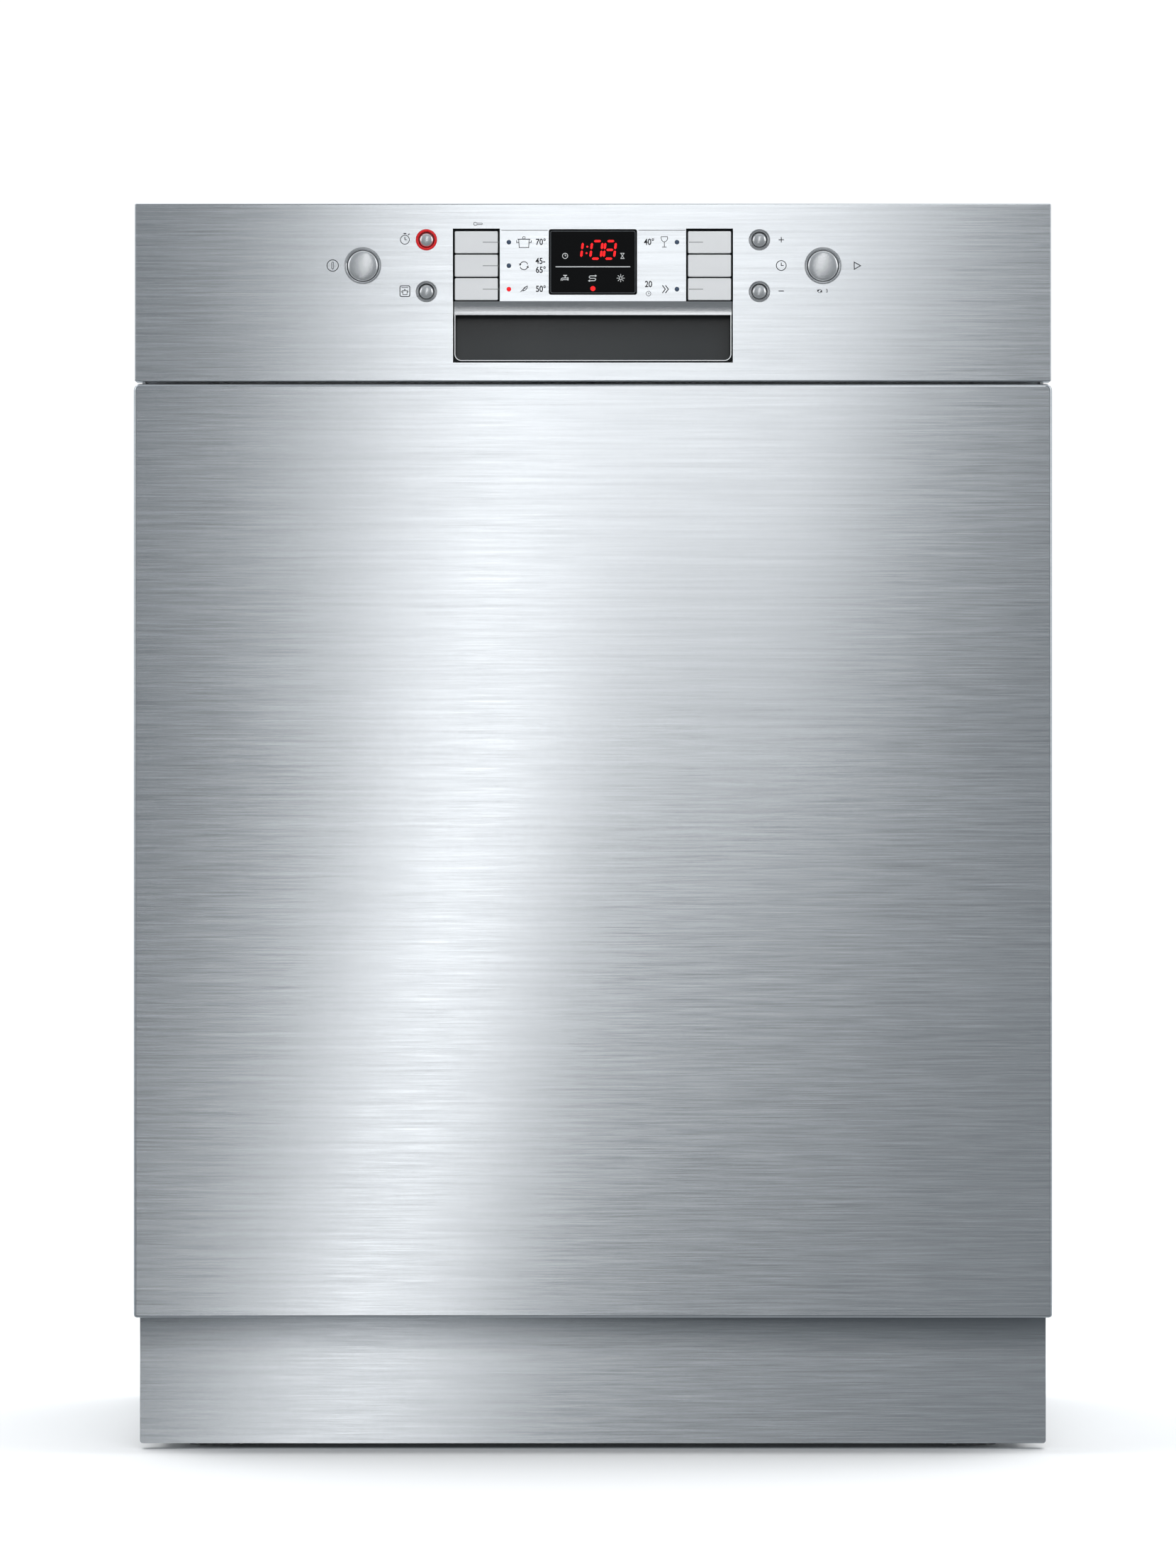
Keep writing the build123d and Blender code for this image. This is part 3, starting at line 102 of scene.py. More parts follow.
def around(count, radius, middle=(0, 0), start=0.0):
    """Evenly spaced points on a circle, anticlockwise from start in degrees."""
    return arc_points(*middle, radius, start, start + 360, count)[:-1]


def oblong(x, z, width, height, radius, steps=6):
    """An anticlockwise rounded rectangle round a middle point."""
    points = []
    for cx, cz, start in ((1, -1, -90), (1, 1, 0), (-1, 1, 90), (-1, -1, 180)):
        corner = (x + cx * (width / 2 - radius), z + cz * (height / 2 - radius))
        points += arc_points(*corner, radius, start, start + 90, steps)
    return points


def on_axis(axis, u, v, along):
    """A point given across (u, v) and along one axis."""
    return {"x": (along, u, v), "y": (u, along, v), "z": (u, v, along)}[axis]


def rounded_path(points, bend, closed=False, steps=5):
    """The same path with each corner turned into a short curve."""
    points = [Vector(p) for p in points]
    path = []
    for i, corner in enumerate(points):
        if bend <= 0 or (not closed and i in (0, len(points) - 1)):
            path.append(corner)
            continue
        before, after = points[i - 1] - corner, points[(i + 1) % len(points)] - corner
        reach = min(bend, before.length * 0.45, after.length * 0.45)
        start, end = corner + before.normalized() * reach, corner + after.normalized() * reach
        for k in range(steps + 1):
            t = k / steps
            path.append(start * (1 - t) ** 2 + corner * 2 * t * (1 - t) + end * t**2)
    return path


# ---------------------------------------------------------------- camera, floor and light
CAMERA_DISTANCE = 5.5
CAMERA_HEIGHT = 0.437
CAMERA_SIDE = -0.0032
VIEW_HEIGHT = 1.0207
SENSOR = 36


def make_camera():
    """A long lens straight in front of the door."""
    data = bpy.data.cameras.new("camera")
    data.sensor_fit = "VERTICAL"
    data.sensor_height = SENSOR
    data.lens = SENSOR * CAMERA_DISTANCE / VIEW_HEIGHT
    data.clip_end = 50
    camera = bpy.data.objects.new("camera", data)
    bpy.context.scene.collection.objects.link(camera)
    camera.location = (CAMERA_SIDE, FRONT_Y - CAMERA_DISTANCE, CAMERA_HEIGHT)
    camera.rotation_euler = (math.pi / 2, 0, 0)
    bpy.context.scene.camera = camera


def area_light(name, place, target, size, power):
    """A soft rectangular light that faces target."""
    data = bpy.data.lights.new(name, "AREA")
    data.shape = "RECTANGLE"
    data.size, data.size_y = size
    data.energy = power
    light = bpy.data.objects.new(name, data)
    bpy.context.scene.collection.objects.link(light)
    light.location = place
    light.rotation_euler = (Vector(target) - Vector(place)).to_track_quat("-Z", "Y").to_euler()
    return light


BACKDROP = 1.05
SURROUND_TINT = (0.87, 0.94, 1.0, 1)
# How the surroundings brighten with height and towards the back: direction from, to; light from, to.
OVERHEAD = (-0.4, 0.5, 0.20, 0.33)
BEHIND = (-0.55, 0.1, 1.0, 2.4)
STRIP_Y = -7.5
STRIP_X = -0.155
STRIP_MIDDLE = CAMERA_HEIGHT
STRIP_LEAN = math.radians(12.3)


def leaning_strip(name, width, low, high, radiance):
    """A light panel behind the camera whose image leans across the door like a bright band."""
    length = (high - low) / math.cos(STRIP_LEAN)
    middle = (low + high) / 2
    x = STRIP_X + (middle - STRIP_MIDDLE) * math.tan(STRIP_LEAN)
    power = radiance * math.pi * width * length
    strip = area_light(name, (x, STRIP_Y, middle), (x, 0, middle), (width, length), power)
    strip.rotation_euler.rotate_axis("Z", -STRIP_LEAN)


def remap(tree, value, *ranges):
    """Map a value: ranges are from low, from high, to low and to high."""
    node = tree.nodes.new("ShaderNodeMapRange")
    tree.links.new(value, node.inputs["Value"])
    for key, number in zip(("From Min", "From Max", "To Min", "To Max"), ranges):
        node.inputs[key].default_value = number
    return node.outputs["Result"]


def make_world():
    """White where the camera sees it, grey in reflections: brighter overhead and behind the machine."""
    world = bpy.data.worlds.new("studio")
    bpy.context.scene.world = world
    world.use_nodes = True
    tree = world.node_tree
    seen = tree.nodes["Background"]
    seen.inputs["Color"].default_value = (1, 1, 1, 1)
    seen.inputs["Strength"].default_value = BACKDROP
    surround = tree.nodes.new("ShaderNodeBackground")
    surround.inputs["Color"].default_value = SURROUND_TINT
    way = tree.nodes.new("ShaderNodeSeparateXYZ")
    tree.links.new(tree.nodes.new("ShaderNodeTexCoord").outputs["Generated"], way.inputs[0])
    gain = tree.nodes.new("ShaderNodeMath")
    gain.operation = "MULTIPLY"
    tree.links.new(remap(tree, way.outputs["Z"], *OVERHEAD), gain.inputs[0])
    tree.links.new(remap(tree, way.outputs["Y"], *BEHIND), gain.inputs[1])
    tree.links.new(gain.outputs[0], surround.inputs["Strength"])
    choose = tree.nodes.new("ShaderNodeMixShader")
    tree.links.new(tree.nodes.new("ShaderNodeLightPath").outputs["Is Camera Ray"], choose.inputs["Fac"])
    tree.links.new(surround.outputs[0], choose.inputs[1])
    tree.links.new(seen.outputs[0], choose.inputs[2])
    tree.links.new(choose.outputs[0], tree.nodes["World Output"].inputs["Surface"])


def make_studio():
    """Soft boxes above and beside, and a tall leaning strip behind the camera."""
    bpy.context.scene.view_settings.view_transform = "Standard"
    make_world()
    over, knee = (0, 1.0, 0.0), (0, 0, 0.4)
    area_light("top_soft", (0, 1.0, 3.0), over, (5.0, 4.6), 150).visible_glossy = False
    area_light("top_gloss", (0, 1.0, 3.1), over, (5.0, 4.6), 40)
    area_light("left_fill", (-3.2, -1.8, 1.6), knee, (1.6, 2.4), 14)
    area_light("right_fill", (3.2, -1.8, 1.6), knee, (1.6, 2.4), 18)
    area_light("basket_fill", (0.4, -3.4, 1.9), knee, (1.6, 1.6), 34).visible_glossy = False
    leaning_strip("front_strip", 0.20, STRIP_MIDDLE - 2.6, STRIP_MIDDLE + 4.5, 2.15)
    leaning_strip("front_panel", 0.85, STRIP_MIDDLE + 0.3, STRIP_MIDDLE + 4.5, 1.3)
    for light in bpy.context.scene.objects:
        if light.type == "LIGHT":
            light.visible_camera = False


FLOOR_SOLID = 0.6
FLOOR_REACH = 1.7


def make_floor():
    """Plain pale floor, round, that fades into the white surroundings."""
    bm = bmesh.new()
    bmesh.ops.create_circle(bm, cap_ends=True, segments=96, radius=FLOOR_REACH)
    mesh = bpy.data.meshes.new("floor_disc")
    bm.to_mesh(mesh)
    bm.free()
    floor = bpy.data.objects.new("floor", mesh)
    bpy.context.scene.collection.objects.link(floor)
    floor.data.materials.append(pale_floor())
    floor.visible_glossy = False


# ---------------------------------------------------------------- materials
class Graph:
    """A short way to build one node material."""

    def __init__(self, name, **shader):
        self.material = bpy.data.materials.new(name)
        self.material.use_nodes = True
        self.tree = self.material.node_tree
        self.shader = self.tree.nodes["Principled BSDF"]
        for key, value in shader.items():
            self.shader.inputs[key.replace("_", " ")].default_value = value
        self.coords = self.add("ShaderNodeTexCoord").outputs["Object"]

    def add(self, kind, **settings):
        """A new node; each setting is an input's value or a property."""
        node = self.tree.nodes.new(kind)
        for key, value in settings.items():
            if key in node.inputs:
                node.inputs[key].default_value = value
            else:
                setattr(node, key, value)
        return node

    def link(self, source, target):
        """Join an output to an input."""
        self.tree.links.new(source, target)
        return target.node

    def noise(self, scale, detail=3.0, rough=0.5):
        """Noise whose grain may be drawn out: scale is per metre along X, Y and Z."""
        mapping = self.add("ShaderNodeMapping", Scale=scale)
        self.link(self.coords, mapping.inputs["Vector"])
        noise = self.add("ShaderNodeTexNoise", Scale=1.0, Detail=detail, Roughness=rough)
        self.link(mapping.outputs["Vector"], noise.inputs["Vector"])
        return noise.outputs["Fac"]

    def ramp(self, value, low, high, start=0.3, end=0.7):
        """Map a noise value to the range low to high."""
        return remap(self.tree, value, start, end, low, high)

    def mix(self, value, first, second):
        """Blend two colours by a value."""
        mixer = self.add("ShaderNodeMix", data_type="RGBA")
        self.link(value, mixer.inputs["Factor"])
        for socket, colour in ((mixer.inputs[6], first), (mixer.inputs[7], second)):
            if hasattr(colour, "node"):
                self.link(colour, socket)
            else:
                socket.default_value = (*colour, 1)
        return mixer.outputs[2]

    def blend_numbers(self, first, second, operation="ADD"):
        """Add two values, or join them by another operation."""
        node = self.add("ShaderNodeMath", operation=operation)
        for socket, value in ((node.inputs[0], first), (node.inputs[1], second)):
            if hasattr(value, "node"):
                self.link(value, socket)
            else:
                socket.default_value = value
        return node.outputs[0]

    def bump(self, value, distance, strength=1.0):
        """Fine relief: distance is in metres."""
        node = self.add("ShaderNodeBump", Distance=distance, Strength=strength)
        self.link(value, node.inputs["Height"])
        self.link(node.outputs["Normal"], self.shader.inputs["Normal"])

    def colour(self, socket):
        """Drive the base colour."""
        self.link(socket, self.shader.inputs["Base Color"])

    def roughness(self, socket):
        """Drive the roughness."""
        self.link(socket, self.shader.inputs["Roughness"])


def pale_floor():
    """White sweep: solid under the machine, clear towards its rim."""
    g = Graph("floor_pale", Roughness=0.9)
    g.shader.inputs["Specular IOR Level"].default_value = 0.0
    g.colour(g.mix(g.noise((2, 2, 2)), (0.77, 0.77, 0.77), (0.79, 0.79, 0.79)))
    reach = g.add("ShaderNodeVectorMath", operation="LENGTH")
    g.link(g.coords, reach.inputs[0])
    g.link(g.ramp(reach.outputs["Value"], 1, 0, FLOOR_SOLID, FLOOR_REACH * 0.98), g.shader.inputs["Alpha"])
    return g.material


def brushed_steel(
    name, tint=(0.76, 0.785, 0.81), rough=0.162, grain="x", streak=1.0, anisotropic=0.87, painted_top_shade=None
):
    """Satin steel with long grain lines along one axis; the last argument is a (z from, z to) span of painted
    shade, darker towards its top, that stands for the shadow under the door's overhang.
    """
    g = Graph(name, Metallic=1.0, Roughness=rough, Anisotropic=anisotropic, Anisotropic_Rotation=0.25)
    fine = {"x": (22, 60, 1500), "z": (1500, 60, 22), "y": (60, 22, 1500)}[grain]
    broad = tuple(v * 0.28 for v in fine)
    lines = g.noise(fine, detail=4, rough=0.62)
    bands = g.noise(broad, detail=2)
    cloud = g.noise((3, 3, 3), detail=2)
    both = g.blend_numbers(g.ramp(lines, 0, 0.5, 0.3, 0.7), g.ramp(bands, 0, 0.5, 0.3, 0.7), "ADD")
    dark, light = (tuple(v * (1 + change * streak) for v in tint) for change in (-0.15, 0.05))
    colour = g.mix(both, dark, light)
    # Painted shade: the colour darkens towards the top of the span, for the shadow that the door's overhang
    # casts on the plinth.
    if painted_top_shade:
        height = g.add("ShaderNodeSeparateXYZ")
        g.link(g.coords, height.inputs[0])
        colour = g.mix(g.ramp(height.outputs["Z"], 0.0, 0.72, *painted_top_shade), colour, (0.10, 0.12, 0.14))
    g.colour(colour)
    g.roughness(g.blend_numbers(g.ramp(lines, rough - 0.035, rough + 0.045), g.ramp(cloud, -0.01, 0.01)))
    g.bump(lines, 0.00002, 0.2)
    tangent = g.add("ShaderNodeTangent", direction_type="RADIAL", axis={"x": "Z", "y": "Z", "z": "X"}[grain])
    g.link(tangent.outputs["Tangent"], g.shader.inputs["Tangent"])
    return g.material


def smooth_plastic(name, colour, rough=0.35, grain=900, depth=0.00001, mottle=0.05):
    """Moulded plastic with a faint spark-eroded grain."""
    g = Graph(name, Roughness=rough)
    speck = g.noise((grain, grain, grain), detail=2)
    cloud = g.noise((9, 9, 9), detail=3)
    low = tuple(v * (1 - mottle) for v in colour)
    g.colour(g.mix(g.ramp(cloud, 0, 1), low, colour))
    g.roughness(g.blend_numbers(g.ramp(speck, rough - 0.05, rough + 0.05), g.ramp(cloud, -0.02, 0.02)))
    g.bump(speck, depth, 0.5)
    return g.material


def satin_metal(name, colour, rough, metallic=0.9, sparkle=1.0):
    """Silver lacquer with a fine sparkle and hardly any brush marks."""
    g = Graph(name, Metallic=metallic, Roughness=rough)
    speck = g.noise((1600, 1600, 1600), detail=2)
    cloud = g.noise((12, 12, 40), detail=3)
    g.colour(g.mix(g.ramp(cloud, 0, 1), tuple(v * 0.96 for v in colour), colour))
    g.roughness(g.ramp(speck, rough - 0.04 * sparkle, rough + 0.05 * sparkle))
    g.bump(speck, 0.000004 * sparkle, 0.4)
    return g.material


def dark_glass(name, colour, rough):
    """Near-black glass with a weak reflection, as behind a smoked window."""
    g = Graph(name, Roughness=rough)
    g.shader.inputs["Specular IOR Level"].default_value = 0.04
    haze = g.noise((60, 60, 60), detail=3)
    g.colour(g.mix(haze, tuple(v * 0.8 for v in colour), colour))
    g.roughness(g.ramp(haze, rough, rough + 0.04))
    return g.material


def glow(name, colour, strength):
    """A lit surface with an uneven base colour."""
    g = Graph(name, Roughness=0.4)
    g.shader.inputs["Emission Color"].default_value = (*colour, 1)
    g.shader.inputs["Emission Strength"].default_value = strength
    speck = g.noise((700, 700, 700), detail=2)
    g.colour(g.mix(speck, tuple(v * 0.75 for v in colour), colour))
    return g.material


def felt_cloth():
    """Grey needle felt: fibres of several tones and a rough nap."""
    g = Graph("felt_cover", Roughness=0.95)
    fibre = g.noise((420, 420, 90), detail=5, rough=0.7)
    cross = g.noise((90, 500, 420), detail=4, rough=0.7)
    broad = g.noise((7, 7, 7), detail=2)
    both = g.blend_numbers(g.ramp(fibre, 0, 1, 0.34, 0.66), g.ramp(cross, 0, 1, 0.34, 0.66), "MULTIPLY")
    tone = g.mix(both, (0.20, 0.205, 0.21), (0.40, 0.40, 0.39))
    flecks = g.ramp(g.noise((260, 260, 260), detail=1), 0, 1, 0.69, 0.72)
    worn = g.mix(g.ramp(broad, 0, 0.22), tone, (0.30, 0.30, 0.29))
    g.colour(g.mix(flecks, worn, (0.10, 0.14, 0.22)))
    g.shader.inputs["Sheen Weight"].default_value = 0.25
    g.bump(both, 0.0008, 0.7)
    return g.material


def zinc_sheet():
    """Hot-dipped sheet with faint crystal spangle and rolling marks."""
    g = Graph("galvanised_sheet", Metallic=0.92, Roughness=0.42)
    mapping = g.add("ShaderNodeMapping", Scale=(55, 55, 38))
    g.link(g.coords, mapping.inputs["Vector"])
    cells = g.add("ShaderNodeTexVoronoi", Scale=1.0, Randomness=1.0)
    g.link(mapping.outputs["Vector"], cells.inputs["Vector"])
    grey = g.add("ShaderNodeSeparateColor")
    g.link(cells.outputs["Color"], grey.inputs["Color"])
    rolled = g.noise((500, 500, 9), detail=3)
    shade = g.blend_numbers(g.ramp(grey.outputs["Red"], 0, 0.7, 0, 1), g.ramp(rolled, 0, 0.3), "ADD")
    g.colour(g.mix(shade, (0.66, 0.675, 0.69), (0.74, 0.755, 0.765)))
    g.roughness(g.blend_numbers(g.ramp(grey.outputs["Green"], 0.40, 0.44, 0, 1), g.ramp(rolled, -0.03, 0.03)))
    g.bump(rolled, 0.00002, 0.3)
    return g.material


def foil_tape():
    """Crinkled aluminium tape."""
    g = Graph("foil_tape", Metallic=1.0, Roughness=0.32)
    crinkle = g.noise((130, 130, 130), detail=4, rough=0.6)
    g.colour(g.mix(crinkle, (0.66, 0.67, 0.68), (0.80, 0.81, 0.82)))
    g.roughness(g.ramp(crinkle, 0.25, 0.42))
    g.bump(crinkle, 0.0004, 0.5)
    return g.material


FINISH = {}


def finish(name):
    """Make each material once."""
    if name not in FINISH:
        FINISH[name] = MAKERS[name]()
    return FINISH[name]


MAKERS = {
    "steel": lambda: brushed_steel("front_brushed_steel"),
    # The plinth's top 28 mm carry painted shade for the shadow under the door's overhang.
    "plinth_steel": lambda: brushed_steel(
        "plinth_brushed_steel", rough=0.175, anisotropic=0.9, painted_top_shade=(PLINTH_TOP - 0.028, PLINTH_TOP)
    ),
    "inner_steel": lambda: brushed_steel("inner_stainless", (0.72, 0.735, 0.75), 0.24, "x", 0.5, 0.4),
    "trim": lambda: brushed_steel("silver_trim_satin", (0.83, 0.84, 0.85), 0.22, "x", 0.4, 0.3),
    "cap": lambda: satin_metal("button_cap_metal", (0.92, 0.93, 0.94), 0.26, 0.9, 0.2),
    "key": lambda: satin_metal("key_silver_lacquer", (0.94, 0.945, 0.95), 0.32, 0.5),
    "black_gloss": lambda: smooth_plastic("cup_dark_gloss", (0.034, 0.040, 0.043), 0.2, 2600, 0.000001, 0.04),
    "glass": lambda: dark_glass("display_black_glass", (0.0025, 0.003, 0.0035), 0.05),
    "lens": lambda: smooth_plastic("lens_dark", (0.045, 0.06, 0.085), 0.15),
    "grey": lambda: smooth_plastic("polypropylene_grey", (0.46, 0.49, 0.51), 0.42),
    "blue": lambda: smooth_plastic("polypropylene_blue_grey", (0.16, 0.22, 0.29), 0.4),
    "nylon": lambda: smooth_plastic("wire_nylon_coat", (0.52, 0.54, 0.56), 0.38),
    "base": lambda: smooth_plastic("base_moulding", (0.22, 0.225, 0.23), 0.55, 500, 0.00002, 0.12),
    "galvanised": zinc_sheet,
    "zinc": lambda: brushed_steel("zinc_plated", (0.62, 0.63, 0.64), 0.35, "x", 0.5, 0.2),
    "rubber": lambda: smooth_plastic("gasket_rubber", (0.05, 0.05, 0.055), 0.6, 700, 0.00002, 0.2),
    "felt": felt_cloth,
    "foil": foil_tape,
    "thread": lambda: smooth_plastic("stitch_thread", (0.62, 0.61, 0.58), 0.8, 900, 0.00005),
    "black": lambda: smooth_plastic("black_moulding", (0.028, 0.028, 0.030), 0.5, 500, 0.00002, 0.2),
    "white": lambda: smooth_plastic("natural_white_moulding", (0.74, 0.74, 0.71), 0.45),
    "grey_light": lambda: smooth_plastic("polypropylene_light", (0.60, 0.63, 0.65), 0.38),
    "frame_black": lambda: dark_glass("frame_black", (0.008, 0.009, 0.010), 0.3),
    "ink": lambda: smooth_plastic("printed_ink", (0.010, 0.012, 0.015), 0.5),
    "tick_grey": lambda: smooth_plastic("tick_print", (0.26, 0.26, 0.26), 0.5),
    "rim_grey": lambda: smooth_plastic("display_rim_grey", (0.10, 0.11, 0.12), 0.3),
    # Pale plastic for the painted highlight line round the grip cup's rim.
    "rim_painted_highlight": lambda: smooth_plastic("cup_rim_painted_highlight", (0.86, 0.87, 0.88), 0.35),
    "lit_red": lambda: glow("lit_red", (0.90, 0.004, 0.006), 0.9),
    "lit_pale": lambda: glow("lit_pale", (0.62, 0.64, 0.64), 0.25),
    "lamp_red": lambda: glow("lamp_red", (0.80, 0.004, 0.01), 0.55),
    "lamp_dark": lambda: smooth_plastic("lamp_blue_grey", (0.055, 0.085, 0.14), 0.2),
    "red_ring": lambda: smooth_plastic("ring_red", (0.74, 0.006, 0.010), 0.3, 900, 0.000004),
    "dish": lambda: brushed_steel("dish_chrome", (0.82, 0.83, 0.84), 0.14, "x", 0.3, 0.0),
    "ring": lambda: brushed_steel("ring_satin", (0.60, 0.61, 0.62), 0.3, "x", 0.5, 0.2),
}

NODE_FINISH = {
    "steel": ["fascia_panel", "outer_panel"],
    "plinth_steel": ["plinth_panel"],
    "inner_steel": ["inner_liner", "tub_shell", "tub_floor"],
    "trim": ["grip_strip", "button_bezels"],
    "cap": [n for n in nodes if n.startswith("button_") and n != "button_bezels"],
    "key": [n for n in nodes if n.startswith(("key_left", "key_right"))],
    "black_gloss": ["grip_cup"],
    "frame_black": ["key_frames"],
    "glass": ["display_window"],
    "lens": ["indicator_lenses"],
    "grey": [
        "dispenser_body", "detergent_lid", "lower_spray_arm", "middle_spray_arm", "riser_pipe",
        "cutlery_basket", "wheels_front", "wheels_rear", "rail_channels", "sump",
    ],
    "blue": ["rinse_aid_cap", "salt_cap", "filter_cylinder"],
    "nylon": ["upper_rack", "lower_rack", "cup_shelf_left", "folding_tines"],
    "base": ["base_tray", "foot_front_left", "foot_front_right", "foot_rear"],
    "galvanised": ["side_panel_left", "side_panel_right", "top_frame"],
    "zinc": ["hinge_arms", "door_strike", "door_latch", "upper_rails"],
    "rubber": ["door_gasket"],
    "felt": ["insulation_blanket"],
    "black": ["circulation_pump", "drain_pump", "terminal_box", "control_module", "hose_connectors"],
    "white": ["softener_tank"],
}


def dress_nodes():
    """Give every CAD node its finish."""
    for name, members in NODE_FINISH.items():
        for member in members:
            data = nodes[member].data
            data.materials.clear()
            data.materials.append(finish(name))


# ---------------------------------------------------------------- printed marks
MARK_PROUD = 0.00004
NUMERAL_SIZE = 5.6
NUMERAL_NARROW = 0.86
NUMERAL_WEIGHT = 0.02


def outline_strip(points, width, closed=False):
    """Left and right edges of a line of even width through 2-D points."""
    count = len(points)
    left, right = [], []
    for i, point in enumerate(points):
        before = points[(i - 1) % count] if closed or i > 0 else None
        after = points[(i + 1) % count] if closed or i < count - 1 else None
        ways = [(b - a).normalized() for a, b in ((before, point), (point, after)) if a and b]
        normal = sum((Vector((-w.y, w.x)) for w in ways), Vector((0, 0))).normalized()
        reach = width / 2 / max(0.4, normal.dot(Vector((-ways[0].y, ways[0].x))))
        left.append(point + normal * reach)
        right.append(point - normal * reach)
    return left, right


class Marks:
    """Flat marks in millimetres, X to the right and Z up, printed on a plane that faces -Y."""

    def __init__(self, name, material, y, body="door", slot="dark_moulding", thickness=0.05):
        self.name, self.material, self.y, self.body, self.slot = name, material, y, body, slot
        self.thickness = thickness * MM
        self.bm = bmesh.new()
        self.origin = Vector((0, 0))

    def at(self, x, up):
        """Set where the next marks go: from the middle line, and up from the middle row."""
        self.origin = Vector((x, up))
        return self

    def face(self, points):
        """One flat face through points that are measured from the current place."""
        ox, oz = self.origin
        corners = [((x + ox) * MM, self.y, MID_Z + (z + oz) * MM) for x, z in points]
        self.bm.faces.new([self.bm.verts.new(p) for p in corners])

    def line(self, points, width=0.4, closed=False):
        """A line of even width through the points."""
        points = [Vector(p) for p in points]
        left, right = outline_strip(points, width, closed)
        last = len(points) if closed else len(points) - 1
        for i in range(last):
            j = (i + 1) % len(points)
            self.face([right[i], right[j], left[j], left[i]])

    def arc(self, x, z, radius, start=0, end=360, width=0.4, steps=28):
        """A curved line between two angles in degrees, or a whole ring."""
        points = arc_points(x, z, radius, start, end, steps)
        closed = end - start >= 360
        self.line(points[:-1] if closed else points, width, closed)

    def disc(self, x, z, radius, steps=28):
        """A filled dot."""
        self.face(around(steps, radius, (x, z)))

    def rounded(self, width, height, radius, line=0.4):
        """A rounded rectangle round the current place."""
        self.line(oblong(0, 0, width, height, radius, 4), line, closed=True)

    def digits(self, text, size):
        """Plain numerals, centred on the current place."""
        curve = bpy.data.curves.new("numerals", "FONT")
        curve.body = text
        curve.size = size
        curve.align_x, curve.align_y = "CENTER", "CENTER"
        curve.offset = NUMERAL_WEIGHT * size
        holder = bpy.data.objects.new("numerals", curve)
        mesh = bpy.data.meshes.new_from_object(holder)
        across = (MM * NUMERAL_NARROW, 0, 0, self.origin.x * MM)
        up = (0, MM, 0, MID_Z + self.origin.y * MM)
        mesh.transform(Matrix((across, (0, 0, -MM, self.y), up, (0, 0, 0, 1))))
        self.bm.from_mesh(mesh)
        bpy.data.meshes.remove(mesh)
        bpy.data.objects.remove(holder)
        bpy.data.curves.remove(curve)

    def done(self):
        """Give the marks their small thickness and hang them on their body."""
        bmesh.ops.remove_doubles(self.bm, verts=self.bm.verts, dist=1e-7)
        bmesh.ops.recalc_face_normals(self.bm, faces=self.bm.faces)
        grown = bmesh.ops.extrude_face_region(self.bm, geom=list(self.bm.faces))
        moved = [g for g in grown["geom"] if isinstance(g, bmesh.types.BMVert)]
        bmesh.ops.translate(self.bm, verts=moved, vec=(0, -self.thickness, 0))
        bmesh.ops.recalc_face_normals(self.bm, faces=self.bm.faces)
        return place_mesh(self.name, self.bm, self.material, self.body)


def place_mesh(name, bm, material, body, smooth=False, replaces=()):
    """Turn a bmesh into a piece that rides on a body."""
    mesh = bpy.data.meshes.new(name)
    bm.to_mesh(mesh)
    bm.free()
    piece = bpy.data.objects.new(name, mesh)
    bpy.context.scene.collection.objects.link(piece)
    mesh.materials.append(finish(material))
    if smooth:
        mesh.shade_smooth()
    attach(piece, body)
    if replaces:
        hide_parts(*replaces)
    return piece


def clock(marks, radius, width=0.45):
    """A dial with two hands."""
    marks.arc(0, 0, radius, width=width)
    marks.line([(0, radius * 0.62), (0, 0), (radius * 0.5, 0)], width)


def chevrons(marks, size):
    """Two arrow heads, one behind the other."""
    for shift in (-size * 0.55, size * 0.25):
        marks.line([(shift, size), (shift + size * 0.75, 0), (shift, -size)], 0.6)


def pot(marks, width, height, line=0.45):
    """A pan with a lid, its knob and two handles."""
    half, low, top = width / 2, -height / 2, height / 2
    body = [(-half * 0.62, low), (half * 0.62, low), (half * 0.68, top * 0.5), (-half * 0.68, top * 0.5)]
    marks.line(body, line, True)
    marks.line([(-half * 0.85, top * 0.52), (half * 0.85, top * 0.52)], line)
    marks.arc(0, top * 0.78, height * 0.11, width=line * 0.8, steps=12)
    for side in SIDES:
        near, far = side * half * 0.7, side * half * 0.95
        marks.line([(near, -top * 0.1), (far, -top * 0.1), (far, top * 0.3)], line)


def leaf(marks, size):
    """A leaf outline with its middle rib."""
    marks.line([(-size, -size * 0.8), (-size * 0.2, 0), (size * 0.55, size * 0.45)], 0.45)
    marks.arc(-size * 0.25, size * 0.85, size * 1.25, -88, 10, width=0.45)
    marks.arc(size * 1.0, -size * 0.45, size * 1.25, 92, 190, width=0.45)


def cycle_arrows(marks, radius, width=0.5):
    """Two arrows that chase each other."""
    for start in (20, 200):
        marks.arc(0, 0, radius, start, start + 130, width)
        tip = math.radians(start + 140)
        way = Vector((-math.sin(tip), math.cos(tip)))
        out = Vector((math.cos(tip), math.sin(tip)))
        base = out * radius
        marks.face([base + way * 1.1, base - out * 0.85 - way * 0.4, base + out * 0.85 - way * 0.4])


def wine_glass(marks, height):
    """A bowl on a stem and a foot."""
    top, low = height / 2, -height / 2
    bowl = [(u * 0.31, top - height * 0.1 + v * 0.4) for u, v in arc_points(0, 0, height, 180, 360, 12)]
    marks.line([(-height * 0.3, top), (height * 0.3, top)], 0.4)
    marks.line([(-height * 0.29, top), *bowl, (height * 0.29, top)], 0.4)
    marks.line([(0, 0), (0, low)], 0.4)
    marks.line([(-height * 0.22, low), (height * 0.22, low)], 0.4)


def key_sign(marks):
    """A small key, lying flat."""
    marks.arc(-1.8, 0, 1.05, 25, 335, width=0.35, steps=16)
    marks.line([(-0.85, 0.42), (2.4, 0.42), (2.9, 0), (2.4, -0.42), (-0.85, -0.42)], 0.35)


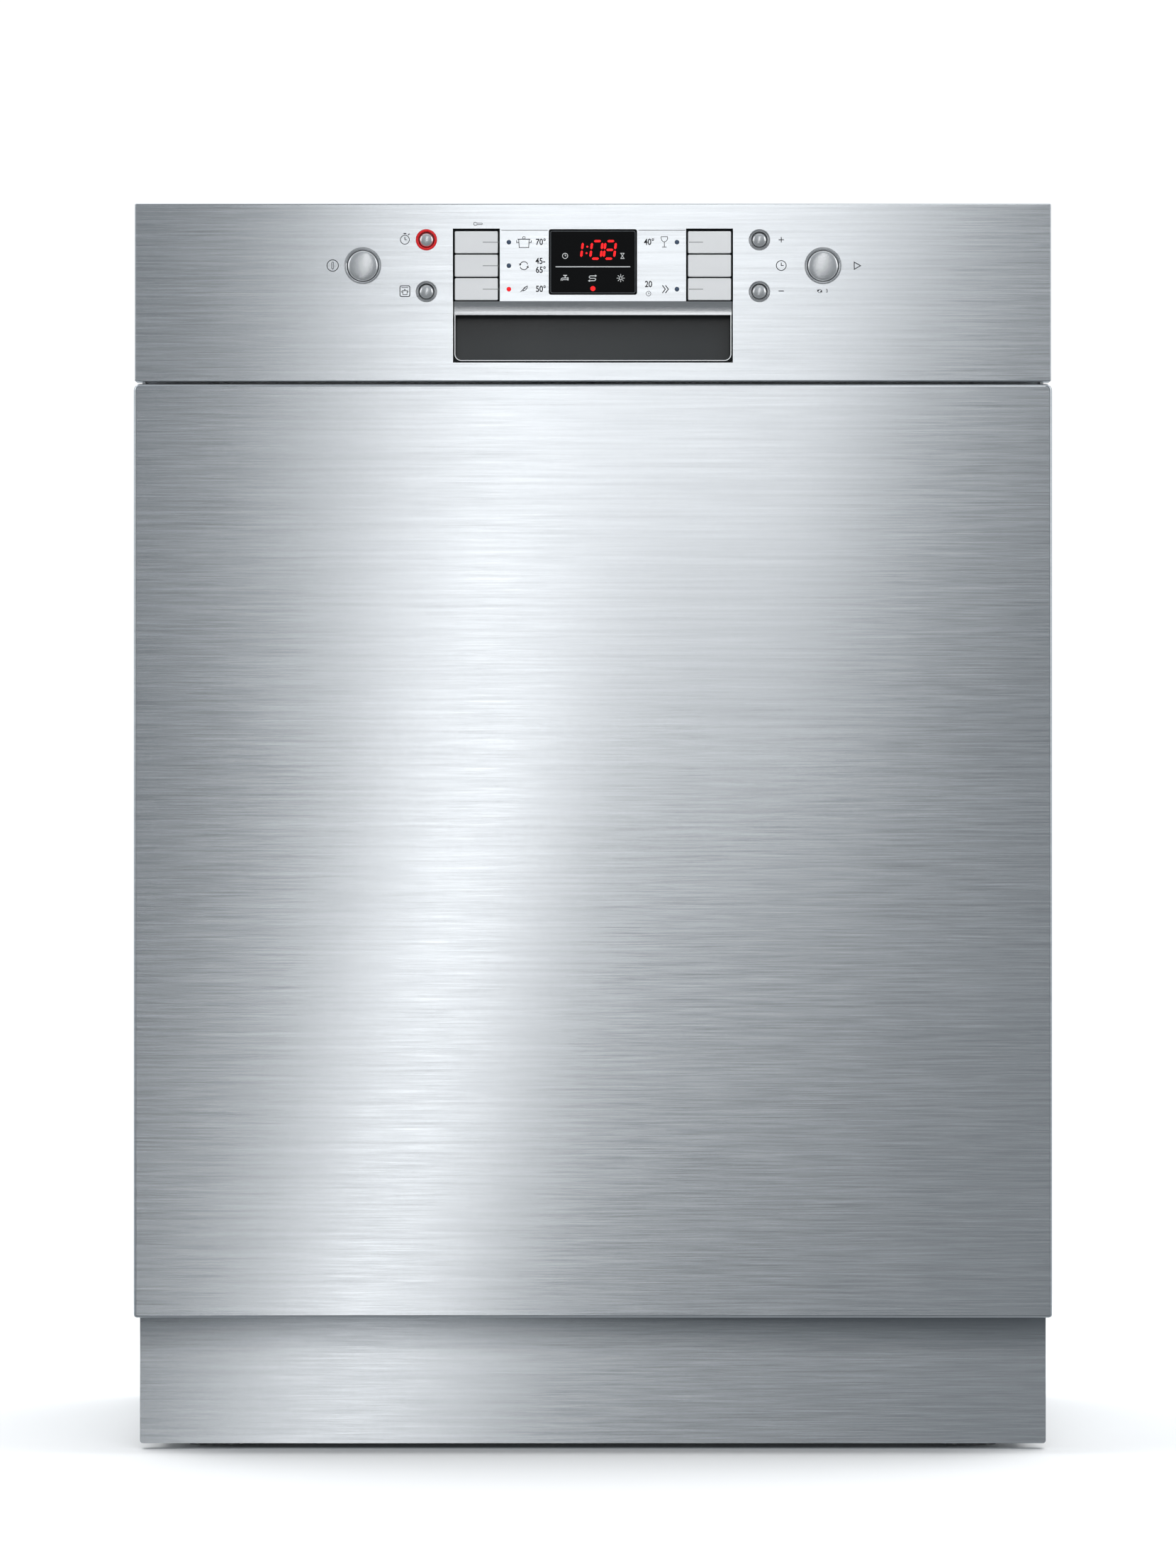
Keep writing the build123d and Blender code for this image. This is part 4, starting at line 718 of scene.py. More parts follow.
def print_fascia():
    """Signs, numerals and lines printed on the brushed steel."""
    y = FRONT_Y + MARK_PROUD / 2
    ink = Marks("fascia_print", "ink", y)
    pot(ink.at(-44.9, 15.4), 10.0, 7.2)
    cycle_arrows(ink.at(-44.9, 0), 2.6)
    leaf(ink.at(-44.9, -15.3), 2.2)
    left = (("70°", -33.9, 15.3), ("45-", -34.2, 2.9), ("65°", -33.9, -2.9), ("50°", -33.9, -15.3))
    for text, x, up in (*left, ("40°", 36.6, 15.3), ("20", 36.2, -12.2)):
        ink.at(x, up).digits(text, NUMERAL_SIZE)
    clock(ink.at(36.2, -18.2), 1.5, 0.32)
    wine_glass(ink.at(46.5, 15.5), 6.8)
    chevrons(ink.at(46.6, -15.3), 2.5)
    key_sign(ink.at(-74.8, 27.2))
    ink.at(-169.4, 0.1).arc(0, 0, 3.7, width=0.5)
    ink.rounded(1.2, 4.4, 0.55, 0.38)
    clock(ink.at(-122.4, 16.9), 2.9)
    ink.line([(-0.9, 4.0), (0.9, 4.0)], 0.7)
    ink.line([(2.1, 3.0), (3.0, 3.9)], 0.6)
    ink.at(-122.4, -16.6).rounded(6.4, 7.0, 1.0, 0.55)
    ink.line([(-2.1, 2.4), (2.1, 2.4)], 0.35)
    pot(ink.at(-122.4, -17.1), 4.4, 3.4, 0.38)
    ink.at(122.6, 16.9).line([(-1.75, 0), (1.75, 0)], 0.55)
    ink.line([(0, -1.75), (0, 1.75)], 0.55)
    ink.at(122.6, -16.5).line([(-1.75, 0), (1.75, 0)], 0.55)
    clock(ink.at(122.6, 0.1), 3.2, 0.5)
    ink.at(172.0, 0).line([(-1.9, 2.3), (2.2, 0), (-1.9, -2.3)], 0.55, closed=True)
    cycle_arrows(ink.at(147.6, -16.5), 1.1, 0.3)
    ink.at(152.3, -16.5).digits("3", 3.0)
    for low, high in ((-59.6, -29.4), (29.8, 60.2)):
        ink.at(0, 23.0).line([(low, 0), (high, 0)], 0.4)
    ink.done()


NUMERAL_SLANT = 0.12
# Which of the seven bars light up in each numeral: top, upper right, lower right, bottom,
# lower left, upper left, middle.
SEVEN_BARS = {"1": (1, 2), "0": (0, 1, 2, 3, 4, 5), "8": (0, 1, 2, 3, 4, 5, 6)}


def seven_segment(marks, numeral, x, width, height, bar):
    """One slanted numeral made of pointed bars with small gaps between them."""
    half, gap, inset = height / 2, bar * 0.12, bar * 0.6
    spans = [
        ((inset, half), (width - inset, half)),
        ((width, half - inset), (width, gap)),
        ((width, -gap), (width, -half + inset)),
        ((inset, -half), (width - inset, -half)),
        ((0, -gap), (0, -half + inset)),
        ((0, half - inset), (0, gap)),
        ((inset, 0), (width - inset, 0)),
    ]
    for index in SEVEN_BARS[numeral]:
        start, end = (Vector(p) for p in spans[index])
        way = (end - start).normalized()
        side = Vector((-way.y, way.x)) * bar / 2
        start, end = start + way * gap, end - way * gap
        points = [start, start + way * bar / 2 + side, end - way * bar / 2 + side, end]
        points += [end - way * bar / 2 - side, start + way * bar / 2 - side]
        marks.face([(x + p.x + p.y * NUMERAL_SLANT, p.y) for p in points])


def light_display():
    """Lit numerals, small signs and the bright line behind the black glass."""
    y = DISPLAY[0].y
    red = Marks("display_numerals", "lit_red", y, slot="lens")
    red.at(0, 10.3)
    seven_segment(red, "1", -14.1, 7.0, 11.4, 1.5)
    seven_segment(red, "0", -1.1, 6.8, 11.4, 1.5)
    seven_segment(red, "8", 7.6, 6.8, 11.4, 1.5)
    for up in (-2.1, 2.1):
        red.disc(-3.9 + up * NUMERAL_SLANT, up, 0.62, 16)
    red.at(0, -14.9).disc(0, 0, 1.6)
    red.done()
    pale = Marks("display_signs", "lit_pale", y, slot="lens")
    pale.at(0, -0.7).line([(-24.3, 0), (24.3, 0)], 0.55)
    clock(pale.at(-18.1, 6.4), 1.7, 0.38)
    for side in SIDES:
        pale.at(19.2, 6.4).line([(-1.3, 1.7 * side), (1.3, 1.7 * side)], 0.4)
    pale.line([(-1.1, 1.6), (1.1, -1.6)], 0.32)
    pale.line([(1.1, 1.6), (-1.1, -1.6)], 0.32)
    tap = pale.at(-18.1, -8.1)
    tap.line([(-2.6, -1.6), (-2.6, -0.6), (-1.9, 0.1), (1.6, 0.1)], 0.42)
    tap.line([(-1.7, -1.6), (-1.7, -1.0), (1.6, -1.0)], 0.42)
    tap.line([(1.9, 0.6), (1.9, -1.5)], 0.6)
    tap.line([(0, 0.1), (0, 1.6)], 0.5)
    tap.line([(-1.2, 1.8), (1.2, 1.8)], 0.6)
    salt = pale.at(-0.3, -8.1)
    salt.line([(2.0, 1.5), (-1.4, 1.5), (-2.1, 0.9), (-2.1, 0.4), (-1.4, -0.1), (1.3, -0.1)], 0.45)
    salt.line([(-2.0, -1.7), (1.4, -1.7), (2.1, -1.1), (2.1, -0.5), (1.3, -0.1)], 0.45)
    salt.face([(1.7, 2.3), (2.9, 1.5), (1.7, 0.7)])
    salt.face([(-1.7, -0.9), (-2.9, -1.7), (-1.7, -2.5)])
    star = pale.at(18.1, -8.1)
    star.arc(0, 0, 0.9, width=0.35, steps=16)
    for ends in zip(around(8, 1.35), around(8, 2.6)):
        star.line(ends, 0.36)
    pale.done()
    rim = Marks("display_rim", "rim_grey", y, slot="lens", thickness=0.03)
    rim.at(0, (centre("display_window").z - MID_Z) / MM)
    rim.rounded(55.0, 40.2, 1.0, 0.3)
    rim.done()


TICK_FAR = 71.7
TICK_INSET = 0.6


def tick_keys():
    """A short printed line on each programme key, next to its lamp."""
    for side, far in (("left", -TICK_FAR), ("right", TICK_FAR)):
        for row in ROWS:
            if (side, row) == ("right", "middle"):
                continue
            node = f"key_{side}_{row}"
            low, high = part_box(node)
            near = (high.x if side == "left" else low.x) / MM + TICK_INSET
            ticks = Marks(f"tick_{side}_{row}", "tick_grey", low.y, node, "key_silver", 0.03)
            ticks.at(0, ((low.z + high.z) / 2 - MID_Z) / MM)
            ticks.line(sorted([(far, 0), (near, 0)]), 0.45)
            ticks.done()


def lathe(name, profile, middle, material, body, steps=64, replaces=()):
    """Turn (radius, forward) points in millimetres about a line along Y; a tube's profile closes."""
    bm = bmesh.new()
    rings = []
    for radius, forward in profile:
        ring = around(steps, radius * MM, (middle.x, middle.z))
        rings.append([bm.verts.new((x, middle.y - forward * MM, z)) for x, z in ring])
    if profile[0][0] > 0:
        rings.append(rings[0])
    for first, second in zip(rings, rings[1:]):
        for i in range(steps):
            j = (i + 1) % steps
            bm.faces.new([first[i], first[j], second[j], second[i]])
    bmesh.ops.remove_doubles(bm, verts=bm.verts, dist=1e-7)
    bmesh.ops.recalc_face_normals(bm, faces=bm.faces)
    return place_mesh(name, bm, material, body, smooth=True, replaces=replaces)


def make_bezels():
    """Dished rings for the large buttons, stepped rings for the small ones; one is red."""
    dish = [(10.3, -6), (10.3, -1.6), (10.55, -1.5), (11.2, -1.15), (11.7, -0.5), (11.85, 0.0), (12.0, 0.05)]
    dish += [(12.05, -0.1), (12.05, -6)]
    step = [(5.2, -6), (5.2, -0.2), (5.35, 0.0), (5.75, 0.02), (5.85, -0.22), (6.1, -0.22), (6.2, 0.04)]
    step += [(6.75, 0.04), (6.88, -0.1), (6.88, -6)]
    flat = [(5.2, -6), (5.2, -0.25), (5.3, -0.05), (5.45, 0.05), (6.7, 0.05), (6.85, -0.06), (6.88, -0.2)]
    flat += [(6.88, -6)]
    for node, profile, material in (
        ("button_power", dish, "dish"),
        ("button_start", dish, "dish"),
        ("button_speed", flat, "red_ring"),
        ("button_half_load", step, "ring"),
        ("button_plus", step, "ring"),
        ("button_minus", step, "ring"),
    ):
        middle = centre(node)
        middle.y = FRONT_Y
        name = node.replace("button", "bezel")
        lathe(name, profile, middle, material, "door", replaces=["button_bezels"])


LAMP_RADIUS = 1.4


def make_lamps():
    """A small domed lens for each lamp: four dark, one lit red."""
    low, high = box_mm("indicator_lenses")[0]
    dome = [(0.0, 0.22), (0.5, 0.2), (0.95, 0.12), (1.25, 0.0), (1.38, -0.15), (LAMP_RADIUS, -3.0)]
    for side, x in (("left", low + LAMP_RADIUS), ("right", high - LAMP_RADIUS)):
        for row in ROWS:
            if (side, row) == ("right", "middle"):
                continue
            material = "lamp_red" if (side, row) == ("left", "bottom") else "lamp_dark"
            spot = Vector((x * MM, FRONT_Y, centre(f"key_left_{row}").z))
            lathe(f"lamp_{side}_{row}", dome, spot, material, "door", 32, ["indicator_lenses"])


def edge_cup():
    """The black outline and the pale line that run round the grip cup's front edge: the black line is painted
    shadow in the gap round the cutout, the pale line a painted highlight on the cup's rounded rim.
    """
    low, high = (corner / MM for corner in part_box("grip_cup"))
    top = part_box("grip_strip")[0].z / MM - MID_Z / MM
    # Outside, a painted shadow line for the cutout's gap; inside, a painted highlight line for the rounded
    # rim.
    for name, material, inset, radius, width in (
        ("cup_shadow_gap_line", "frame_black", 0.35, 4.9, 0.75),
        ("cup_rim_highlight_line", "rim_painted_highlight", 1.15, 4.2, 0.5),
    ):
        half, bottom = high.x - inset, low.z + inset - MID_Z / MM
        rim = Marks(name, material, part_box("grip_cup")[0].y, slot="silver_trim", thickness=0.12)
        left = arc_points(-half + radius, bottom + radius, radius, 180, 270, 9)
        right = [(-u, v) for u, v in reversed(left)]
        rim.line([(-half, top), *left, *right, (half, top)], width)
        rim.done()


# ---------------------------------------------------------------- solid forms
class Shape:
    """Solid forms in millimetres, gathered into one piece."""

    def __init__(self):
        self.bm = bmesh.new()

    def bridge(self, rings, closed=False):
        """Faces between neighbouring rings of points, with a cap at each open end."""
        made = [[self.bm.verts.new(p) for p in ring] for ring in rings]
        pairs = list(zip(made, made[1:]))
        if closed:
            pairs.append((made[-1], made[0]))
        for first, second in pairs:
            for i, corner in enumerate(first):
                j = (i + 1) % len(first)
                self.bm.faces.new([corner, first[j], second[j], second[i]])
        if not closed:
            self.bm.faces.new(made[0][::-1])
            self.bm.faces.new(made[-1])
        return self

    def slab(self, x, y, z, edge=1.0, segments=2):
        """A block with rounded edges, from its ranges along X, Y and Z."""
        spans = [sorted(v) for v in (x, y, z)]
        made = bmesh.ops.create_cube(self.bm, size=1)["verts"]
        for vert in made:
            vert.co = [(low + high) / 2 + c * (high - low) for c, (low, high) in zip(vert.co, spans)]
        edge = min([edge] + [0.45 * (high - low) for low, high in spans])
        if edge > 0:
            edges = list({e for v in made for e in v.link_edges})
            bmesh.ops.bevel(self.bm, geom=edges, offset=edge, segments=segments, affect="EDGES", profile=0.5)
        return self

    def turn(self, profile, middle, axis="z", steps=32, closed=False):
        """Turn (radius, along) points about an axis through middle, where along is zero."""
        rings = []
        for radius, along in profile:
            ring = [on_axis(axis, *p, along) for p in around(steps, radius)]
            rings.append([Vector(middle) + Vector(p) for p in ring])
        return self.bridge(rings, closed)

    def hoop(self, inner, outer, low, high, middle, steps=56):
        """A flat ring about an upright axis, from its two radii and two heights."""
        section = [(inner, low), (inner, high), (outer, high), (outer, low)]
        return self.turn(section, middle, "z", steps, closed=True)

    def posts(self, places, low, high, radius, axis="z", sides=6):
        """Straight wires along one axis, from low to high, at places across it."""
        for p in places:
            self.wire([on_axis(axis, *p, low), on_axis(axis, *p, high)], radius, sides=sides)

    def plate(self, outline, profile, axis="z"):
        """A flat form over an anticlockwise outline; profile is (inset, along) from end to end."""
        points = [Vector(p) for p in outline]
        rings = []
        for inset, along in profile:
            inner = outline_strip(points, 2 * inset, True)[0]
            rings.append([on_axis(axis, p.x, p.y, along) for p in inner])
        return self.bridge(rings)

    def wire(self, points, radius, bend=0.0, closed=False, sides=8):
        """A round wire along a path whose corners are rounded by bend."""
        path = rounded_path(points, bend, closed)
        circle = around(sides, 1)
        rings, normal = [], None
        for i, point in enumerate(path):
            before = path[i - 1] if i or closed else point
            after = path[(i + 1) % len(path)] if i < len(path) - 1 or closed else point
            way = (after - before).normalized()
            normal = way.orthogonal() if normal is None else normal - way * normal.dot(way)
            normal.normalize()
            side = way.cross(normal)
            rings.append([point + (normal * u + side * v) * radius for u, v in circle])
        return self.bridge(rings, closed)

    def ribbon(self, path, section, closed=False):
        """Sweep a section of (outwards, y) points along a path of (x, z) points."""
        points = [Vector(p) for p in path]
        rings = [[] for _ in points]
        for outwards, y in section:
            line = outline_strip(points, 2 * abs(outwards), closed)[0 if outwards >= 0 else 1]
            for ring, p in zip(rings, line):
                ring.append((p.x, y, p.y))
        return self.bridge(rings, closed)

    def done(self, name, material, body, slot, replaces=(), sharp=40):
        """Make the piece; edges bent by more than sharp degrees stay crisp."""
        bmesh.ops.scale(self.bm, vec=(MM, MM, MM), verts=self.bm.verts)
        bmesh.ops.remove_doubles(self.bm, verts=self.bm.verts, dist=1e-7)
        bmesh.ops.recalc_face_normals(self.bm, faces=self.bm.faces)
        piece = place_mesh(name, self.bm, material, body, smooth=True, replaces=replaces)
        piece.data.set_sharp_from_angle(angle=math.radians(sharp))
        return piece


# ---------------------------------------------------------------- button caps
def make_caps():
    """Domed satin caps that take the place of the plain CAD caps."""
    large = [(0.0, 0.42), (3.5, 0.36), (6.5, 0.18), (8.6, -0.1), (9.5, -0.45), (9.86, -1.0), (9.9, -7.0)]
    small = [(0.0, 0.6), (1.6, 0.5), (3.0, 0.2), (4.1, -0.3), (4.65, -0.9), (4.85, -1.6), (4.85, -7.0)]
    for node in NODE_FINISH["cap"]:
        profile = large if node in ("button_power", "button_start") else small
        middle = centre(node)
        middle.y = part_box(node)[0].y
        lathe(f"cap_{node[7:]}", profile, middle, "cap", node, 64, [node])


def make_grip_band():
    """The satin band over the grip cup: a shallow cove, dark above and bright below."""
    x, y, z = box_mm("grip_strip")
    depth, back = 1.5, y[0] + 4
    cove = [(y[0] + depth * math.sin(0.62 * math.pi * t), z[1] + (z[0] - z[1]) * t) for t in spread(0, 1, 15)]
    band = Shape()
    band.plate([(back, z[1]), *cove, (back, z[0])], [(0, x[0]), (0, x[1])], "x")
    band.done("grip_band_cove", "trim", "door", "silver_trim", ["grip_strip"], 60)


# ---------------------------------------------------------------- baskets
RIM_WIRE = 2.4
THIN_WIRE = 1.5
BASKET_BEND = 22.0
BASKET_HALF = 240.0
WALL_LEAN = 5.0
WALL_GAP = 26
TINE_FOOT = 6
LOWER_FLOOR = 176.0
UPPER_FLOOR = 455.0
SLIDE_Z = (516.0, 534.0)


def basket_wires(shape, y, z, belts):
    """Rim, belts, and U-shaped wires both ways; each wall leans in a little towards the floor."""
    half_x, half_y, mid_y = BASKET_HALF - RIM_WIRE, (y[1] - y[0]) / 2 - RIM_WIRE, sum(y) / 2
    floor, rim = z[0] + THIN_WIRE, z[1] - RIM_WIRE

    def loop(height, radius):
        """One wire round the basket; thinner ones lie inside the upright wires."""
        inset = WALL_LEAN * (rim - height) / (rim - floor) + (THIN_WIRE + 0.8 if radius < RIM_WIRE else 0)
        w, h = half_x - inset, half_y - inset
        corners = [(w, -h), (w, h), (-w, h), (-w, -h)]
        shape.wire([(u, mid_y + v, height) for u, v in corners], radius, BASKET_BEND, True)

    loop(rim, RIM_WIRE)
    for height in belts:
        loop(height, 1.9)
    loop(floor + 3.2, 2.1)
    low_x, low_y = half_x - WALL_LEAN, half_y - WALL_LEAN
    paths = []
    for v in spread(WALL_GAP - half_y, half_y - WALL_GAP, 12):
        paths.append([(-half_x, v, rim), (-low_x, v, floor), (low_x, v, floor), (half_x, v, rim)])
    for u in spread(WALL_GAP - half_x, half_x - WALL_GAP, 14):
        paths.append([(u, -half_y, rim), (u, -low_y, floor + 3), (u, low_y, floor + 3), (u, half_y, rim)])
    for path in paths:
        shape.wire([(a, mid_y + b, c) for a, b, c in path], THIN_WIRE, 9, sides=6)


def tine_row(shape, xs, y, z, height):
    """Upright wires with rounded tips on one cross rod."""
    shape.wire([(xs[0] - 4, y, z), (xs[-1] + 4, y, z)], 1.9)
    for x in xs:
        shape.wire([(x, y, z), (x, y, z + height - 1.2), (x, y, z + height)], THIN_WIRE, sides=6)
        shape.turn([(THIN_WIRE, 0), (THIN_WIRE * 0.8, 0.8), (0, 1.3)], (x, y, z + height), steps=6)


def basket_grip(y, top):
    """The moulded grip on a basket's front wall."""
    profile = [(3, y[0] - 4), (0.6, y[0] - 3), (0, y[0] - 1), (0, y[0] + 5), (1.5, y[0] + 7)]
    return Shape().plate(oblong(0, top - 13, 150, 22, 8), profile, "y")


def make_lower_basket():
    """Wires and rows of tines, the grip, and the brackets that carry the wheels."""
    _, y, z = box_mm("lower_rack")
    z = (LOWER_FLOOR, z[1])
    shape = Shape()
    basket_wires(shape, y, z, (z[0] + 52, z[0] + 88))
    short = spread(-204, box_mm("cutlery_basket")[0][0] - 26, 13)
    for row, xs in ((y[0] + 46, short), (y[0] + 118, short), (y[1] - 44, spread(-204, 196, 17))):
        tine_row(shape, xs, row, z[0] + TINE_FOOT, 66)
    shape.done("lower_basket_wires", "nylon", "lower_rack", "wire_nylon", ["lower_rack"])
    grip = basket_grip(y, z[1])
    grip.done("lower_basket_grip", "grey", "lower_rack", "grey_plastic", ["lower_rack"])
    brackets = Shape()
    for node in ("wheels_front", "wheels_rear"):
        _, mid_y, mid_z = (sum(span) / 2 for span in box_mm(node))
        for side in SIDES:
            plate = (side * 240.4, side * 244.8)
            brackets.slab(plate, about(mid_y, 10), (mid_z - 9, z[0] + 16), 2.5)
            axle = [(3.4, 0), (3.4, 18.6), (4.6, 18.8), (4.2, 20.4), (0, 20.8)]
            brackets.turn([(r, side * a) for r, a in axle], (side * 244, mid_y, mid_z), "x", 20)
            for height in (z[0] + 2.5, z[0] + 12):
                clip = (side * 233, side * 241)
                brackets.slab(clip, about(mid_y, 7), about(height, 2.8), 1.4)
    brackets.done("lower_wheel_brackets", "grey", "lower_rack", "grey_plastic", ["lower_rack"])


def make_upper_basket():
    """Wires and tines, the grip with the middle arm's pipe, and the slides at the sides."""
    _, y, (post, top) = box_mm("upper_rack")
    z = (UPPER_FLOOR, top)
    shape = Shape()
    basket_wires(shape, y, z, (z[0] + 48, z[0] + 90))
    floor = z[0] + TINE_FOOT
    for row in (y[0] + 60, y[1] - 66):
        tine_row(shape, spread(-120, 204, 13), row, floor, 48)
    for column in (-116, -152):
        shape.posts([(column, v) for v in spread(y[0] + 40, y[1] - 40, 11)], floor, floor + 42, THIN_WIRE)
    shape.done("upper_basket_wires", "nylon", "upper_rack", "wire_nylon", ["upper_rack"])
    grip = basket_grip(y, top)
    collar = z[0] - post
    grip.turn([(9.9, 0), (9.9, collar), (15, collar), (15, collar + 4)], (0, 0, post), steps=32)
    grip.slab((-8, 8), (10, y[1] - 1), (z[0] - 9.6, z[0] - 0.2), 4.2, 4)
    for place in (60, 120, 180):
        grip.slab((-11, 11), about(place, 5), (z[0] - 9, z[0] + 3.4), 1.5)
    grip.done("upper_basket_grip", "grey", "upper_rack", "grey_plastic", ["upper_rack"])
    rails = Shape()
    low, high = SLIDE_Z
    for side in SIDES:
        rails.slab((side * 243.4, side * 247.8), (-205, 200), SLIDE_Z, 1.2)
        for lip in (low + 1, high - 5):
            rails.slab((side * 246.6, side * 248), (-203, 198), (lip, lip + 4), 0.6)
        for place in (-150, -20, 130):
            rails.slab((side * 233.5, side * 243.6), about(place, 9), (low + 3, high - 3), 1.5)
    rails.done("upper_basket_slides", "zinc", "upper_rack", "steel_parts", ["upper_rack"])


def make_cup_shelf():
    """A comb of hoops on a hinge wire, with a moulded edge grip."""
    x, y, z = box_mm("cup_shelf_left")
    height = sum(z) / 2
    left, right, front, back = x[0] + 2, x[1] - 2, y[0] + 2, y[1] - 2
    shape = Shape()
    corners = [(left, front), (right, front), (right, back), (left, back)]
    shape.wire([(*p, height) for p in corners], 2.0, 10, True)
    for place in spread(y[0] + 20, y[1] - 20, 12):
        shape.wire([(left, place, height), (right, place, height)], 1.4, sides=6)
    middle = sum(x) / 2 + 6
    shape.wire([(middle, front, height - 0.6), (middle, back, height - 0.6)], 1.4, sides=6)
    shape.done("cup_shelf_wires", "nylon", "cup_shelf_left", "wire_nylon", ["cup_shelf_left"])
    edge = Shape()
    for place in spread(y[0] + 45, y[1] - 45, 3):
        edge.slab((x[1] - 9, x[1] + 1.5), about(place, 26), about(height, 3.6), 2.4, 3)
    edge.done("cup_shelf_grips", "grey", "cup_shelf_left", "grey_plastic", ["cup_shelf_left"])


def make_folding_tines():
    """One row of tines on the rod that it folds about."""
    x, y, z = box_mm("folding_tines")
    shape = Shape()
    rod = z[0] + 2
    tine_row(shape, spread(x[0] + 2, x[1] - 2, 13), sum(y) / 2, rod, z[1] - rod - 1.3)
    shape.done("folding_tine_wires", "nylon", "folding_tines", "wire_nylon", ["folding_tines"])


def make_wheels():
    """Moulded wheels: rounded tread, dished web with spokes, and a hub."""
    for node in ("wheels_front", "wheels_rear"):
        x, y, z = box_mm(node)
        hub, radius = (sum(y) / 2, sum(z) / 2), (z[1] - z[0]) / 2
        tyre = [(radius - 3.2, 0.6), (radius - 2.4, 0), (radius - 0.9, 0.4), (radius, 1.8), (radius, 14.2)]
        tyre += [(radius - 0.9, 15.6), (radius - 3.2, 16), (radius - 3.2, 10), (5.9, 9.6), (5.9, 15.6)]
        tyre += [(4.0, 15.6), (4.0, 0.6), (5.9, 0.6), (5.9, 6.4), (radius - 3.2, 6.0)]
        shape = Shape()
        for side in SIDES:
            out = side * x[1]
            shape.turn([(r, -side * a) for r, a in tyre], (out, *hub), "x", 48, closed=True)
            for ends in zip(around(6, 5, hub), around(6, radius - 2.6, hub)):
                shape.wire([(out - side * 4.5, *p) for p in ends], 1.5, sides=8)
        shape.done(f"{node}_moulded", "grey", node, "grey_plastic", [node])


CUTLERY_TOP = 290.0
CUTLERY_WALL = 2.4


def make_cutlery_basket():
    """Slotted moulded box: posts between bands, a grid floor, a middle wall and a bail."""
    x, y, z = box_mm("cutlery_basket")
    top, wall = CUTLERY_TOP, CUTLERY_WALL
    shape = Shape()
    bands = [(z[0], z[0] + 9), (z[0] + 38, z[0] + 44), (z[0] + 74, z[0] + 80), (top - 9, top)]
    for low, high in bands:
        for place in (x[0], x[1] - wall):
            shape.slab((place, place + wall), y, (low, high), 1.0)
        for place in (y[0], y[1] - wall):
            shape.slab(x, (place, place + wall), (low, high), 1.0)
    for place in spread(y[0] + 1.6, y[1] - 1.6, 17):
        for side in (x[0] + 0.3, x[1] - wall + 0.3):
            shape.slab((side, side + wall - 0.6), about(place, 1.3), (z[0] + 3, top - 3), 0.5, 1)
    for place in spread(x[0] + 1.6, x[1] - 1.6, 13):
        for side in (y[0] + 0.3, y[1] - wall + 0.3, -131.0):
            shape.slab(about(place, 1.3), (side, side + wall - 0.6), (z[0] + 3, top - 3), 0.5, 1)
        shape.slab(about(place, 1.1), y, (z[0], z[0] + 2.2), 0.5, 1)
    for place in spread(y[0] + 6, y[1] - 6, 14):
        shape.slab(x, about(place, 1.1), (z[0] + 0.4, z[0] + 2.6), 0.5, 1)
    for low, high in (bands[1], bands[3]):
        shape.slab(x, (-131.2, -128.8), (low, high), 0.9)
    middle = sum(x) / 2
    bail = [(-38, top - 4), (-34, z[1] - 4), (34, z[1] - 4), (38, top - 4)]
    shape.wire([(middle + u, -130, v) for u, v in bail], 3.4, 16, sides=12)
    shape.done("cutlery_basket_moulded", "grey", "cutlery_basket", "grey_plastic", ["cutlery_basket"])


# ---------------------------------------------------------------- water parts in the tub
def wing_outline(length, root, tip, sweep):
    """Anticlockwise outline of a two-winged spray arm."""
    shares = spread(0, 1, 15)

    def edge(start, middle, end):
        """One edge of a wing: its width at the hub, halfway and where the rounded tip starts."""
        points = []
        for t in shares:
            v = start * (1 - t) * (1 - 2 * t) + middle * 4 * t * (1 - t) + end * t * (2 * t - 1)
            points.append(((length - tip) * t, v))
        return points

    wing = edge(-root, -tip - 2, sweep - tip)
    wing += arc_points(length - tip, sweep, tip, -72, 72, 8)
    wing += edge(root, tip + 8, sweep + tip)[:0:-1]
    return wing + [(-u, -v) for u, v in wing]


def make_spray_arm(node, length, root, tip, sweep, blade):
    """A domed hollow blade with a hub cap and angled jets along each wing."""
    low, high = blade
    shape = Shape()
    outline = wing_outline(length, root, tip, sweep)
    profile = [(3.0, low), (0.8, low + 0.8), (0, low + 3), (0, high - 4.5), (1.0, high - 1.8)]
    shape.plate(outline, [*profile, (3.4, high - 0.4), (6.0, high)])
    jets = Shape()
    for wing in (1, -1):
        for k, along in enumerate((0.30, 0.44, 0.57, 0.69, 0.80, 0.91)):
            across = sweep * along + (3.5 if k % 2 else -3.5)
            place = (wing * length * along, wing * across, high)
            nozzle = [(5.2, -0.8), (4.8, 0.5), (3.6, 1.1), (2.4, 0.9), (2.2, -0.8)]
            shape.turn(nozzle, place, steps=20, closed=True)
            jets.turn([(0.0, -0.2), (2.3, -0.2), (2.3, 0.25), (0, 0.25)], place, steps=16)
    shape.done(f"{node}_blade", "grey", node, "grey_plastic", [node])
    jets.done(f"{node}_jets", "black", node, "grey_plastic", [node])


LOWER_ARM_Z = 154.0
MIDDLE_ARM_Z = 431.0


